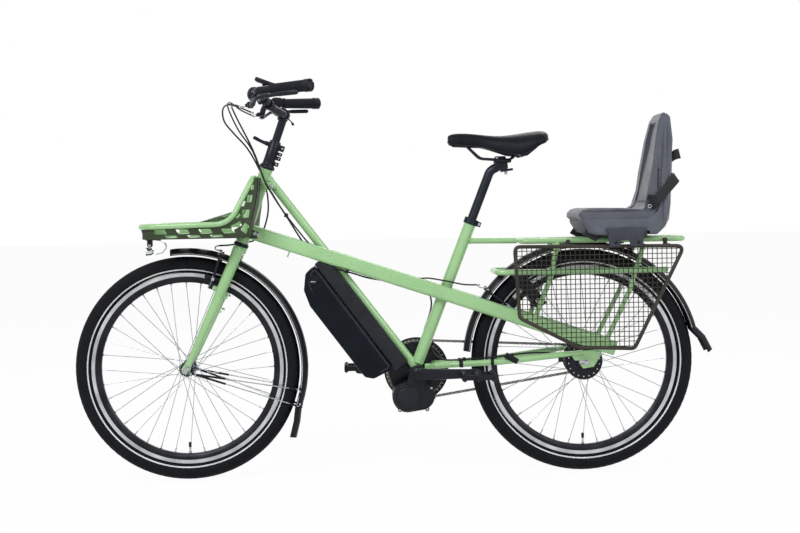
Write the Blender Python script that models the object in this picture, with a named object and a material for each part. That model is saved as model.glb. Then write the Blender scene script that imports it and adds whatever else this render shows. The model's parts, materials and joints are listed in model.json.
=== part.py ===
"""Utility bike: green frame, front tray, mid motor, rear rack with pannier guard and child seat."""

import bpy
import bmesh
from math import atan2, cos, pi, radians, sin, sqrt
from mathutils import Matrix, Vector

for old in list(bpy.data.objects):
    bpy.data.objects.remove(old)

mm = 0.001
gap = 0.3 * mm

# Driving sizes. X runs to the rear, Y to the right-hand side, Z up from the ground
wheel_radius = 330 * mm
wheel_base = 1169 * mm
rear_axle = Vector((554 * mm, 0, wheel_radius))
front_axle = rear_axle - Vector((wheel_base, 0, 0))
bottom_bracket = rear_axle + Vector((-492 * mm, 0, -25 * mm))
head_angle = radians(70.3)
head_foot = front_axle + Vector((167.5 * mm, 0, 368 * mm))
head_length = 228 * mm
seat_angle = radians(68.3)
seat_tube_length = 467 * mm

tyre_width = 49 * mm
tyre_bead = 284.1 * mm
rim_outer = 283.4 * mm
rim_inner = 253.5 * mm
rim_width = 25 * mm
spoke_count = 36
spoke_radius = 1.0 * mm

head_tube_radius = 18.5 * mm
down_tube_radius = 12.7 * mm
seat_tube_radius = 17.5 * mm
side_tube_height = 42 * mm
side_tube_width = 21 * mm
side_tube_slope = -0.340
shell_radius = 21.5 * mm
shell_half = 34 * mm
post_radius = 13.6 * mm
steerer_radius = 14.3 * mm
bar_radius = 11.1 * mm

crank_length = 170 * mm
chain_line = 45 * mm
chainring_radius = 89 * mm
sprocket_radius = 38.6 * mm
chain_half_height = 4 * mm

steer_up = Vector((cos(head_angle), 0, sin(head_angle)))
steer_front = Vector((-sin(head_angle), 0, cos(head_angle)))
seat_up = Vector((cos(seat_angle), 0, sin(seat_angle)))
seat_rear = Vector((sin(seat_angle), 0, -cos(seat_angle)))
across = Vector((0, 1, 0))
upward = Vector((0, 0, 1))
rearward = Vector((1, 0, 0))
seat_foot = bottom_bracket + Vector((-3 * mm, 0, 13 * mm))
seat_top = seat_foot + seat_up * seat_tube_length
down_top = head_foot + steer_up * 212 * mm
origin = Vector((0, 0, 0))


# Finishes: colour, roughness, metallic
finishes = {
    "green": ((0.31, 0.58, 0.26), 0.25, 0.0),
    "black": ((0.02, 0.02, 0.022), 0.45, 0.0),
    "case": ((0.015, 0.017, 0.025), 0.35, 0.0),
    "rubber": ((0.02, 0.02, 0.022), 0.85, 0.0),
    "anodised": ((0.03, 0.03, 0.035), 0.35, 0.8),
    "steel": ((0.6, 0.6, 0.6), 0.3, 1.0),
    "rim": ((0.35, 0.35, 0.36), 0.3, 0.9),
    "grid": ((0.05, 0.045, 0.04), 0.5, 0.3),
    "grey": ((0.22, 0.22, 0.24), 0.6, 0.0),
    "webbing": ((0.02, 0.02, 0.025), 0.9, 0.0),
}


# Shared shapes
def circle(radius, sides, turn=0.0):
    return [
        (radius * cos(turn + 2 * pi * i / sides), radius * sin(turn + 2 * pi * i / sides))
        for i in range(sides)
    ]


def flat_oval(width, height, steps):
    """Two straight sides joined by half circles, tall along the second direction."""
    radius = width / 2
    straight = height / 2 - radius
    points = []
    for end in (1, -1):
        for i in range(steps + 1):
            angle = pi * i / steps + (0 if end > 0 else pi)
            points.append((radius * cos(angle), end * straight + radius * sin(angle)))
    return points


def rectangle(width, height):
    return [
        (-width / 2, -height / 2),
        (width / 2, -height / 2),
        (width / 2, height / 2),
        (-width / 2, height / 2),
    ]


def rounded(points, radius, steps=4, closed=False):
    """A polyline whose corners are arcs of one radius."""
    result = []
    count = len(points)
    for i, corner in enumerate(points):
        if not closed and i in (0, count - 1):
            result.append(Vector(corner))
            continue
        corner = Vector(corner)
        before = Vector(points[i - 1]) - corner
        after = Vector(points[(i + 1) % count]) - corner
        half = before.angle(after) / 2
        reach = min(radius / max(sin(half), 0.05) * cos(half), before.length * 0.49, after.length * 0.49)
        start = corner + before.normalized() * reach
        end = corner + after.normalized() * reach
        for k in range(steps + 1):
            t = k / steps
            result.append(start * (1 - t) ** 2 + corner * 2 * t * (1 - t) + end * t * t)
    return result


def smooth(points, per_span):
    """A Catmull-Rom curve through the points."""
    knots = [Vector(p) for p in points]
    knots = [2 * knots[0] - knots[1]] + knots + [2 * knots[-1] - knots[-2]]
    result = []
    for i in range(1, len(knots) - 2):
        a, b, c, d = knots[i - 1:i + 3]
        for k in range(per_span):
            t = k / per_span
            result.append(0.5 * (2 * b + (c - a) * t + (2 * a - 5 * b + 4 * c - d) * t ** 2
                                 + (3 * b - a - 3 * c + d) * t ** 3))
    result.append(knots[-2])
    return result


def loft(bm, rings, closed=False):
    """Faces between rings of points, with flat ends unless the rings close on themselves."""
    rows = [[bm.verts.new(p) for p in ring] for ring in rings]
    pairs = list(zip(rows, rows[1:]))
    if closed:
        pairs.append((rows[-1], rows[0]))
    for low, high in pairs:
        size = len(low)
        for i in range(size):
            j = (i + 1) % size
            bm.faces.new((low[i], low[j], high[j], high[i]))
    if not closed:
        bm.faces.new(rows[0][::-1])
        bm.faces.new(rows[-1])
    return bm


def sweep(points, section, side=None, closed=False, scale=None, bm=None):
    """A section carried along a path. Section points are (across the side, along the normal)."""
    bm = bm or bmesh.new()
    path = [Vector(p) for p in points]
    count = len(path)
    rings = []
    turned_side = side
    for i, point in enumerate(path):
        ahead = path[(i + 1) % count] if closed or i < count - 1 else point
        behind = path[i - 1] if closed or i > 0 else point
        tangent = (ahead - behind).normalized()
        if turned_side is None:
            turned_side = tangent.orthogonal().normalized()
        base = side or turned_side
        turned_side = (base - tangent * base.dot(tangent)).normalized()
        normal = tangent.cross(turned_side)
        grow = scale[i] if scale else (1.0, 1.0)
        rings.append([point + turned_side * a * grow[0] + normal * b * grow[1] for a, b in section])
    return loft(bm, rings, closed)


def turned(profile, at=origin, axis=across, steps=24, ring=False, bm=None):
    """A profile of (distance along the axis, radius) turned about the axis."""
    bm = bm or bmesh.new()
    axis = axis.normalized()
    first = axis.orthogonal().normalized() if abs(axis.y) < 0.99 else rearward
    second = axis.cross(first)
    rows = []
    for along, radius in profile:
        centre = at + axis * along
        if radius < 1e-7:
            rows.append([bm.verts.new(centre)])
            continue
        rows.append([
            bm.verts.new(centre + first * radius * cos(2 * pi * i / steps) + second * radius * sin(2 * pi * i / steps))
            for i in range(steps)
        ])
    pairs = list(zip(rows, rows[1:]))
    if ring:
        pairs.append((rows[-1], rows[0]))
    for low, high in pairs:
        for i in range(steps):
            j = (i + 1) % steps
            if len(low) == 1:
                bm.faces.new((low[0], high[j], high[i]))
            elif len(high) == 1:
                bm.faces.new((low[i], low[j], high[0]))
            else:
                bm.faces.new((low[i], low[j], high[j], high[i]))
    return bm


def rod(start, end, radius, sides=12, bm=None):
    """A plain round bar from one point to another."""
    return sweep([start, end], circle(radius, sides), bm=bm)


def pipe(start, end, outer, inner, sides=16, bm=None):
    """A round bar with a bore right through it."""
    start = Vector(start)
    run = Vector(end) - start
    profile = [(0, inner), (0, outer), (run.length, outer), (run.length, inner)]
    return turned(profile, start, run, sides, ring=True, bm=bm)


def slab(outline, low, high, bm=None):
    """An outline of (x, z) points given thickness along Y, from low to high."""
    bm = bm or bmesh.new()
    rings = [[Vector((x, y, z)) for x, z in outline] for y in (low, high)]
    return loft(bm, rings)


def block(size, at, along=rearward, side=across, bm=None):
    """A box of size (along, side, up), turned to two directions."""
    bm = bm or bmesh.new()
    along = along.normalized()
    side = (side - along * side.dot(along)).normalized()
    up = along.cross(side)
    length, width, height = size
    rings = []
    for end in (-1, 1):
        rings.append([
            at + along * end * length / 2 + side * a + up * b for a, b in rectangle(width, height)
        ])
    return loft(bm, rings)


def soften(bm, width, segments=1, angle=30):
    """Bevels every edge sharper than the angle."""
    bmesh.ops.recalc_face_normals(bm, faces=bm.faces)
    sharp = [e for e in bm.edges if len(e.link_faces) == 2 and e.calc_face_angle(0) > radians(angle)]
    bmesh.ops.bevel(bm, geom=sharp, offset=width, segments=segments, affect="EDGES", profile=0.5)
    return bm


def capsule(start, end, first_radius, last_radius, steps=8):
    """An outline round two circles in the XZ plane."""
    heading = atan2(end[1] - start[1], end[0] - start[0])
    points = []
    for centre, radius, offset in ((start, first_radius, pi / 2), (end, last_radius, -pi / 2)):
        for i in range(steps + 1):
            angle = heading + offset + pi * i / steps
            points.append((centre[0] + radius * cos(angle), centre[1] + radius * sin(angle)))
    return points


def mirrored(point):
    return Vector((point.x, -point.y, point.z))


# Objects, joins and cuts
def add(name, bm, finish, pivot=origin, parent=None, smooth_angle=35):
    """A finished piece, with its origin at the pivot and its own material."""
    bmesh.ops.recalc_face_normals(bm, faces=bm.faces)
    mesh = bpy.data.meshes.new(name)
    bm.to_mesh(mesh)
    bm.free()
    mesh.transform(Matrix.Translation(-pivot))
    mesh.shade_smooth()
    mesh.set_sharp_from_angle(angle=radians(smooth_angle))
    mesh.materials.append(material(name, finish))
    piece = bpy.data.objects.new(name, mesh)
    bpy.context.scene.collection.objects.link(piece)
    put(piece, pivot, parent)
    return piece


def put(piece, pivot, parent):
    piece.location = pivot - (parent.location_in_bike if parent else origin)
    if parent:
        piece.parent = parent.empty


def material(name, finish):
    colour, roughness, metallic = finishes[finish]
    made = bpy.data.materials.new(name)
    made.use_nodes = True
    surface = made.node_tree.nodes["Principled BSDF"]
    surface.inputs["Base Color"].default_value = (*colour, 1)
    surface.inputs["Roughness"].default_value = roughness
    surface.inputs["Metallic"].default_value = metallic
    made.diffuse_color = (*colour, 1)
    return made


def guide(bm):
    """A hidden shape that another piece is joined to or cut by."""
    bmesh.ops.recalc_face_normals(bm, faces=bm.faces)
    mesh = bpy.data.meshes.new("guide")
    bm.to_mesh(mesh)
    bm.free()
    shape = bpy.data.objects.new("guide", mesh)
    bpy.context.scene.collection.objects.link(shape)
    shape.hide_render = True
    shape.display_type = "WIRE"
    return shape


def combine(piece, shapes, operation):
    for bm in shapes:
        step = piece.modifiers.new(operation.title(), "BOOLEAN")
        step.operation = operation
        step.solver = "EXACT"
        step.object = guide(bm)
    return piece


def join(piece, *shapes):
    return combine(piece, shapes, "UNION")


def cut(piece, *shapes):
    return combine(piece, shapes, "DIFFERENCE")


class Holder:
    """An empty on a joint's axis, which carries the pieces that move with it."""

    def __init__(self, name, location, parent=None):
        self.location_in_bike = Vector(location)
        self.empty = bpy.data.objects.new(name, None)
        bpy.context.scene.collection.objects.link(self.empty)
        self.empty.location = self.location_in_bike - (parent.location_in_bike if parent else origin)
        if parent:
            self.empty.parent = parent.empty


def cord(name, route, radius, finish, per_span=5):
    """A cable as a round curve through the route's points."""
    data = bpy.data.curves.new(name, "CURVE")
    data.dimensions = "3D"
    data.bevel_depth = radius
    data.bevel_resolution = 2
    data.render_resolution_u = 0
    data.use_fill_caps = True
    points = smooth(route, per_span)
    spline = data.splines.new("POLY")
    spline.points.add(len(points) - 1)
    for knot, point in zip(spline.points, points):
        knot.co = (*point, 1)
    data.materials.append(material(name, finish))
    piece = bpy.data.objects.new(name, data)
    bpy.context.scene.collection.objects.link(piece)
    return piece


# Places on the frame
def on_steerer(along, front=0.0, side=0.0):
    return head_foot + steer_up * along + steer_front * front + across * side


def side_tube_z(x):
    return 581 * mm + side_tube_slope * (x - 16 * mm)


def side_tube_y(x):
    if x < -300 * mm:
        return 30 * mm + (x + 300 * mm) * 0.045
    return 30 * mm + max(0.0, x - 144 * mm) * 0.1065


def round_wheel(hub, angle, radius, side=0.0):
    return hub + Vector((radius * cos(radians(angle)), side, radius * sin(radians(angle))))


# Cutters that leave a running gap round a neighbour
def clear_of(radius, sides=16, room=gap):
    return (radius + room) / cos(pi / sides)


def head_tube_space():
    return rod(on_steerer(-5 * mm), on_steerer(head_length + 5 * mm), clear_of(head_tube_radius), 16)


def seat_tube_space():
    return rod(seat_foot - seat_up * 30 * mm, seat_top + seat_up * 5 * mm, clear_of(seat_tube_radius), 16)


def shell_space():
    return rod(
        bottom_bracket - across * (shell_half + 1 * mm),
        bottom_bracket + across * (shell_half + 1 * mm),
        clear_of(shell_radius),
        16,
    )


def down_tube_line():
    return down_top, bottom_bracket + Vector((-2 * mm, 0, 12 * mm))


def down_tube_space():
    start, end = down_tube_line()
    return rod(start, end + (end - start).normalized() * 30 * mm, clear_of(down_tube_radius), 16)


# Frame tubes
def head_and_down_tube():
    piece = add("head_and_down_tube", rod(on_steerer(0), on_steerer(head_length), head_tube_radius, 16), "green")
    start, end = down_tube_line()
    join(piece, rod(start, end, down_tube_radius, 14))
    cut(
        piece,
        rod(on_steerer(-5 * mm), on_steerer(head_length + 5 * mm), 15.3 * mm, 20),
        seat_tube_space(),
        shell_space(),
    )


def seat_tube_and_stay():
    piece = add("seat_tube_and_stay", rod(seat_foot - seat_up * 14 * mm, seat_top, seat_tube_radius, 16), "green")
    stay_start = Vector((215 * mm, 0, 690 * mm))
    join(
        piece,
        rod(bottom_bracket - across * shell_half, bottom_bracket + across * shell_half, shell_radius, 16),
        rod(stay_start, Vector((363.5 * mm, 0, 688 * mm)), 8.5 * mm, 12),
    )
    cut(
        piece,
        rod(seat_foot + seat_up * 45 * mm, seat_top + seat_up * 5 * mm, clear_of(post_radius, 20), 20),
        rod(bottom_bracket - across * 40 * mm, bottom_bracket + across * 40 * mm, 18 * mm, 16),
    )


def side_tube(side):
    name = "side_tube_left" if side < 0 else "side_tube_right"
    stations = [-430 * mm, -300 * mm, 144 * mm, 640 * mm]
    path = [Vector((x, side * side_tube_y(x), side_tube_z(x))) for x in stations]
    path = path[:2] + rounded([path[1], path[2], path[3]], 300 * mm, 3)[1:]
    section = flat_oval(side_tube_width, side_tube_height, 5)
    piece = add(name, sweep(path, section, across), "green")
    boss = rear_brake_pivot(side)
    bracket_centre = boss - rear_brake_axis * 10 * mm + across * side * 4 * mm
    join(
        piece,
        block((8 * mm, 20 * mm, 14 * mm), bracket_centre, rear_brake_axis, across),
        rod(boss - rear_brake_axis * 11 * mm, boss + rear_brake_axis * 8 * mm, 3.5 * mm, 8),
    )
    cut(piece, head_tube_space())


def chain_stays():
    """Both stays, the cross piece behind the shell, and the dropout plates."""
    front = Vector((112 * mm, 29 * mm, 323 * mm))
    route = [
        front,
        Vector((158 * mm, 29 * mm, 326 * mm)),
        Vector((196 * mm, 37.5 * mm, 328 * mm)),
        Vector((304 * mm, 52 * mm, 334 * mm)),
        Vector((486 * mm, 76.5 * mm, 354 * mm)),
        Vector((545 * mm, 78 * mm, 360 * mm)),
    ]
    cross = rod(Vector((112 * mm, -33 * mm, 323 * mm)), Vector((112 * mm, 33 * mm, 323 * mm)), 9.5 * mm, 12)
    piece = add("chainstays", cross, "green")
    join(piece, block((34 * mm, 24 * mm, 16 * mm), Vector((97 * mm, 0, 320 * mm))))
    plate = rounded(
        [
            (514 * mm, 0, 347 * mm),
            (524 * mm, 0, 333 * mm),
            (539 * mm, 0, 322 * mm),
            (546 * mm, 0, 311 * mm),
            (578 * mm, 0, 316 * mm),
            (601 * mm, 0, 353 * mm),
            (601 * mm, 0, 366 * mm),
            (514 * mm, 0, 362 * mm),
        ],
        6 * mm, 2, closed=True,
    )
    outline = [(p.x, p.z) for p in plate]
    for side in (-1, 1):
        points = [Vector((p.x, p.y * side, p.z)) for p in route]
        join(
            piece,
            sweep(points, circle(9.2 * mm, 12), upward),
            slab(outline, *sorted((side * 69 * mm, side * 75 * mm))),
        )
        slot = block((30 * mm, 30 * mm, 10.6 * mm), Vector((539 * mm, side * 75 * mm, 330 * mm)))
        cut(piece, slot)
    cut(piece, rod(rear_axle - across * 90 * mm, rear_axle + across * 90 * mm, 5.3 * mm, 12))
    cut(piece, seat_tube_space(), shell_space(), side_tube_space(-1), side_tube_space(1))


def side_tube_space(side):
    stations = [-430 * mm, -300 * mm, 144 * mm, 640 * mm]
    path = [Vector((x, side * side_tube_y(x), side_tube_z(x))) for x in stations]
    path = path[:2] + rounded([path[1], path[2], path[3]], 300 * mm, 3)[1:]
    path[0] += (path[0] - path[1]).normalized() * 4 * mm
    path[-1] += (path[-1] - path[-2]).normalized() * 4 * mm
    section = flat_oval(side_tube_width + 0.9 * mm, side_tube_height + 0.9 * mm, 5)
    return sweep(path, section, across)


def seat_clamp():
    collar = pipe(seat_top - seat_up * 14 * mm, seat_top + seat_up * 4 * mm, 21.5 * mm, clear_of(seat_tube_radius), 16)
    piece = add("seat_clamp", collar, "anodised")
    centre = seat_top - seat_up * 5 * mm + seat_rear * 25 * mm
    join(piece, block((16 * mm, 18 * mm, 13 * mm), centre, seat_up, across))
    cut(piece, block((30 * mm, 2.4 * mm, 30 * mm), seat_top - seat_up * 5 * mm + seat_rear * 26 * mm, seat_up, across))


# Rear rack
def rear_rack():
    low, high = 373 * mm, 847 * mm
    deck_z = 687 * mm
    loop = rounded(
        [(low, -70 * mm, deck_z), (high, -70 * mm, deck_z), (high, 70 * mm, deck_z), (low, 70 * mm, deck_z)],
        24 * mm, 2, closed=True,
    )
    piece = add("rear_rack", sweep(loop, circle(8 * mm, 8), upward, closed=True), "green")
    lower_z = 598 * mm
    lower = rounded(
        [(793 * mm, -85 * mm, lower_z), (298 * mm, -85 * mm, lower_z), (298 * mm, 85 * mm, lower_z),
         (793 * mm, 85 * mm, lower_z)],
        32 * mm, 3,
    )
    join(piece, sweep(lower, circle(8.2 * mm, 8), upward))
    for x in (450 * mm, 660 * mm):
        join(piece, rod(Vector((x, -70 * mm, 690 * mm)), Vector((x, 70 * mm, 690 * mm)), 5 * mm, 8))
    for side in (-1, 1):
        foot_x = 408 * mm
        leg = [
            Vector((476 * mm, side * 71 * mm, 686 * mm)),
            Vector((460 * mm, side * 72 * mm, 597 * mm)),
            Vector((441 * mm, side * 70 * mm, 545 * mm)),
            Vector((foot_x, side * side_tube_y(foot_x), side_tube_z(foot_x))),
        ]
        join(piece, sweep(leg, circle(7.5 * mm, 8), across))
    cut(piece, side_tube_space(-1), side_tube_space(1))


def rack_rear_legs():
    top = [
        Vector((606 * mm, -80 * mm, 376 * mm)),
        Vector((687 * mm, -69 * mm, 539 * mm)),
        Vector((729 * mm, -68 * mm, 670.5 * mm)),
        Vector((729 * mm, 68 * mm, 670.5 * mm)),
        Vector((687 * mm, 69 * mm, 539 * mm)),
        Vector((606 * mm, 80 * mm, 376 * mm)),
    ]
    bow = sweep(rounded(top, 12 * mm, 2), circle(7 * mm, 10), rearward)
    piece = add("rack_rear_legs", bow, "green")
    cut(piece, side_tube_space(-1), side_tube_space(1))


def pannier_guard():
    y = -120 * mm
    corners = [
        (345 * mm, y, 673 * mm),
        (837 * mm, y, 667 * mm),
        (689 * mm, y, 372 * mm),
        (526 * mm, y, 379 * mm),
        (357 * mm, y, 467 * mm),
    ]
    outline = rounded(corners, 16 * mm, 3, closed=True)
    piece = add("pannier_guard", sweep(outline, circle(5.5 * mm, 6), across, closed=True), "grid")
    wires = bmesh.new()
    for x, z_low, z_high in guard_columns(corners):
        sweep([Vector((x, y, z_low)), Vector((x, y, z_high))], circle(1.5 * mm, 4), bm=wires)
    join(piece, wires)
    rows = bmesh.new()
    for z, x_low, x_high in guard_rows(corners):
        sweep([Vector((x_low, y, z)), Vector((x_high, y, z))], circle(1.5 * mm, 4), bm=rows)
    join(piece, rows)
    for x in (505 * mm, 790 * mm):
        join(piece, block((14 * mm, 39.6 * mm, 4 * mm), Vector((x, -98.2 * mm, 672.5 * mm))))


def edge_height(first, second, x):
    return first[2] + (second[2] - first[2]) * (x - first[0]) / (second[0] - first[0])


def guard_columns(corners):
    top_front, top_rear, low_rear, low_middle, front_low = corners
    count = 7
    for i in range(1, count):
        x = top_front[0] + (top_rear[0] - top_front[0]) * i / count
        high = edge_height(top_front, top_rear, x)
        if x < low_middle[0]:
            low = edge_height(front_low, low_middle, x)
        elif x < low_rear[0]:
            low = edge_height(low_middle, low_rear, x)
        else:
            low = edge_height(low_rear, top_rear, x)
        yield x, low, high


def guard_rows(corners):
    top_front, top_rear, low_rear, low_middle, front_low = corners
    count = 4
    for i in range(1, count):
        z = 372 * mm + (667 * mm - 372 * mm) * i / count
        far = low_rear[0] + (top_rear[0] - low_rear[0]) * (z - low_rear[2]) / (top_rear[2] - low_rear[2])
        if z > front_low[2]:
            near = front_low[0] + (top_front[0] - front_low[0]) * (z - front_low[2]) / (top_front[2] - front_low[2])
        else:
            near = low_middle[0] + (front_low[0] - low_middle[0]) * (z - low_middle[2]) / (front_low[2] - low_middle[2])
        yield z, near, far


# Front tray
tray_half = 150 * mm
tray_top_half = 100 * mm


def narrowed(point):
    """The upright part of the tray draws in towards its top."""
    rise = min(1.0, max(0.0, (point.z - 758 * mm) / (886 * mm - 758 * mm)))
    return Vector((point.x, point.y * (1 - rise * (1 - tray_top_half / tray_half)), point.z))


def tray_profile():
    side = [(-742 * mm, 0, 750 * mm), (-470 * mm, 0, 755 * mm), (-404 * mm, 0, 886 * mm)]
    return rounded(side, 70 * mm, 4)


def front_tray():
    line = [Vector(p) for p in tray_profile()]
    half = tray_half - 8 * mm
    left = [Vector((p.x, -half, p.z)) for p in line]
    right = [Vector((p.x, half, p.z)) for p in reversed(line)]
    loop = [narrowed(p) for p in rounded_plan(left, right)]
    rail = sweep(loop, circle(8 * mm, 6), closed=True)
    outer = [(p.x, p.z) for p in line] + [(-388 * mm, 886 * mm), (-392 * mm, 758 * mm)]
    outer += [(-404 * mm, 722 * mm), (-425 * mm, 714 * mm), (-738 * mm, 714 * mm)]
    shell = slab(outer, -half, half)
    hollow = slab([(-739 * mm, 800 * mm), (-470 * mm, 920 * mm), (-391.5 * mm, 920 * mm), (-391.5 * mm, 886 * mm),
                   (-395.5 * mm, 762 * mm), (-407 * mm, 726 * mm), (-426 * mm, 717.5 * mm),
                   (-733 * mm, 717.5 * mm)], -half + 3 * mm, half - 3 * mm)
    for bm in (shell, hollow):
        split_levels(bm)
        for vertex in bm.verts:
            vertex.co = narrowed(vertex.co)
    piece = add("front_tray", shell, "green")
    cut(piece, hollow)
    join(piece, rail)
    cut(piece, tray_windows(), tray_slots())
    for side in (-1, 1):
        join(piece, block((54 * mm, 3 * mm, 26 * mm), Vector((-372 * mm, side * 20.6 * mm, 862 * mm)), rearward, across))
    cut(piece, head_tube_space(), side_tube_space(-1), side_tube_space(1), down_tube_space())


def split_levels(bm):
    """Extra cuts across the side walls, so that they can lean inwards."""
    for level in (758, 822):
        bmesh.ops.bisect_plane(
            bm, geom=bm.verts[:] + bm.edges[:] + bm.faces[:], plane_co=(0, 0, level * mm), plane_no=(0, 0, 1)
        )


def rounded_plan(left, right):
    """The rail's closed loop, with its corners rounded in plan."""
    front = rounded([left[1], left[0], right[-1], right[-2]], 34 * mm, 2)[1:-1]
    top = rounded([left[-2], left[-1], right[0], right[1]], 30 * mm, 2)[1:-1]
    return front[::-1] + left[1:-1] + top + right[1:-1]


def tray_windows():
    """Slanted windows in two rows along the side walls, and three larger ones in the upright."""
    windows = bmesh.new()
    for low, high, start, count in ((732, 742, -700, 4), (719, 727, -668, 3)):
        for i in range(count):
            x = start + i * 64.5
            slab(
                [((x + 8) * mm, low * mm), ((x + 42) * mm, low * mm), ((x + 34) * mm, high * mm), (x * mm, high * mm)],
                -170 * mm, 170 * mm, windows,
            )
    for x, z, turn in ((-449, 752, 0), (-425, 790, 0), (-412, 832, 0)):
        slab(
            [((x - 12) * mm, (z - 9) * mm), ((x + 12) * mm, (z - 14) * mm), ((x + 15) * mm, (z + 7) * mm),
             ((x - 5) * mm, (z + 15) * mm)],
            -170 * mm, 170 * mm, windows,
        )
    return windows


def tray_slots():
    """Long drain slots through the tray's floor."""
    slots = bmesh.new()
    for i in range(4):
        x = (-682 + i * 62) * mm
        block((26 * mm, 210 * mm, 30 * mm), Vector((x, 0, 716 * mm)), bm=slots)
    return slots


def lamp_bracket():
    piece = add("lamp_bracket", block((44 * mm, 22 * mm, 4 * mm), Vector((-708 * mm, 0, 711.5 * mm))), "black")
    for side in (-1, 1):
        join(piece, block((14 * mm, 3 * mm, 24 * mm), Vector((-718 * mm, side * 9 * mm, 700.5 * mm))))
    join(piece, rod(Vector((-718 * mm, -10 * mm, 694 * mm)), Vector((-718 * mm, 10 * mm, 694 * mm)), 2.2 * mm, 10))


# Battery and motor
tube_run = Vector((0.5909, 0, -0.8067))
tube_below = Vector((-0.8067, 0, -0.5909))
tube_start = Vector((-350 * mm, 0, 866 * mm))


def beside_tube(along, below):
    """A point measured down the down tube and square out below it."""
    point = tube_start + tube_run * along * mm + tube_below * below * mm
    return point.x, point.z


def battery_mount():
    outline = [beside_tube(*p) for p in ((303, 2), (655, 2), (655, 46.5), (303, 46.5))]
    body = soften(slab(outline, -33 * mm, 33 * mm), 4 * mm)
    piece = add("battery_mount", body, "black")
    cut(piece, down_tube_space(), shell_space(), motor_space())
    cut(piece, seat_tube_space())


def battery_case():
    corners = [(260, 37), (264, 84), (300, 117), (348, 131), (612, 130), (630, 116), (641, 56), (636, 47.8),
               (301.5, 47.8), (301.5, 37)]
    outline = [beside_tube(*p) for p in corners]
    body = soften(slab(outline, -41 * mm, 41 * mm), 3.5 * mm)
    piece = add("battery_case", body, "case")
    step = [beside_tube(*p) for p in ((330, 60), (622, 60), (610, 118), (352, 120))]
    for side in (-1, 1):
        cut(piece, slab(step, *sorted((side * 39 * mm, side * 60 * mm))))
    cut(piece, rod(key_place + across * 8 * mm, key_place - across * 20 * mm, 8.6 * mm, 16))
    cut(piece, motor_space())


key_place = Vector((-239 * mm, -41 * mm, 585 * mm))


def battery_key(body):
    barrel = [(0, 0), (0, 8 * mm), (-7 * mm, 8 * mm), (-8 * mm, 7 * mm), (-8 * mm, 0)]
    piece = add("battery_key", turned(barrel, key_place + across * 7 * mm, across, 16), "steel", key_place, body)
    cut(piece, block((9 * mm, 4 * mm, 1.4 * mm), key_place - across * 1 * mm))


motor_centre = Vector((51.5 * mm, 0, 235 * mm))


def motor_outline(grow=0.0):
    """Two rounded lobes: the round cover in front and the gear housing behind it."""
    cover = (31 * mm, 235 * mm)
    rear = (70 * mm, 238 * mm)
    return capsule(cover, rear, 44 * mm + grow, 41 * mm + grow, 8)


def motor_space():
    return slab(motor_outline(0.6 * mm), -72 * mm, 40 * mm)


def motor_unit():
    piece = add("motor_unit", slab(motor_outline(), -64 * mm, 38 * mm), "case")
    cover = [(0, 0), (0, 40 * mm), (-6 * mm, 38 * mm), (-9 * mm, 33 * mm), (-9 * mm, 0)]
    join(piece, turned(cover, Vector((31 * mm, -62 * mm, 234 * mm)), across, 18))
    arm = capsule((bottom_bracket.x, bottom_bracket.z), (55 * mm, 262 * mm), 24 * mm, 28 * mm, 5)
    join(piece, slab(arm, -62 * mm, -36 * mm))
    cut(piece, shell_space())
    join(piece, pipe(bottom_bracket - across * 60 * mm, bottom_bracket + across * 39 * mm, 17.4 * mm, 9 * mm, 14))
    cut(piece, rod(bottom_bracket - across * 80 * mm, bottom_bracket + across * 50 * mm, 9 * mm, 14))
    for x in (8 * mm, 88 * mm):
        join(piece, rod(Vector((x, -58 * mm, 199 * mm)), Vector((x, -34 * mm, 199 * mm)), 5 * mm, 8))


# Drive
def crank_arm(side, heading):
    end = bottom_bracket.x + heading * crank_length
    outline = capsule((bottom_bracket.x, bottom_bracket.z), (end, bottom_bracket.z), 19 * mm, 14 * mm, 8)
    faces = sorted((side * 76 * mm, side * 89 * mm))
    return soften(slab(outline, *faces), 2 * mm)


def pedal_pin(side, heading):
    place = bottom_bracket + rearward * heading * crank_length
    return rod(place + across * side * 80 * mm, place + across * side * 184 * mm, 6 * mm, 8)


def crank_left(drive):
    piece = add("crank_left", crank_arm(-1, 1), "anodised", bottom_bracket, drive)
    join(
        piece,
        rod(bottom_bracket - across * 80 * mm, bottom_bracket + across * 40 * mm, 8.2 * mm, 16),
        rod(bottom_bracket - across * 91 * mm, bottom_bracket - across * 72 * mm, 14 * mm, 16),
        pedal_pin(-1, 1),
    )


def crank_right(drive):
    profile = [
        (40.4 * mm, 0), (40.4 * mm, 14 * mm), (43 * mm, 22 * mm), (43 * mm, 84 * mm), (47 * mm, 84 * mm),
        (47 * mm, 74 * mm), (49.5 * mm, 74 * mm), (49.5 * mm, 97 * mm), (52 * mm, 97 * mm), (52 * mm, 30 * mm),
        (62 * mm, 14 * mm), (91 * mm, 14 * mm), (91 * mm, 0),
    ]
    piece = add("crank_right", turned(profile, bottom_bracket, across, 20), "anodised", bottom_bracket, drive)
    join(piece, crank_arm(1, -1), pedal_pin(1, -1))


def pedal(side, heading, holder):
    name = "pedal_left" if side < 0 else "pedal_right"
    place = Vector((holder.location_in_bike.x, 0, holder.location_in_bike.z))
    barrel = rod(place + across * side * 98 * mm, place + across * side * 187 * mm, 11 * mm, 8)
    piece = add(name, barrel, "black", holder.location_in_bike, holder)
    for x in (-41 * mm, 41 * mm):
        join(piece, block((12 * mm, 84 * mm, 24 * mm), place + Vector((x, side * 142.5 * mm, 0))))
    for y in (102 * mm, 184 * mm):
        join(piece, block((82 * mm, 6 * mm, 16 * mm), place + Vector((0, side * y, 0))))
    cut(piece, rod(place + across * side * 90 * mm, place + across * side * 185.4 * mm, clear_of(6 * mm, 8), 8))


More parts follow.
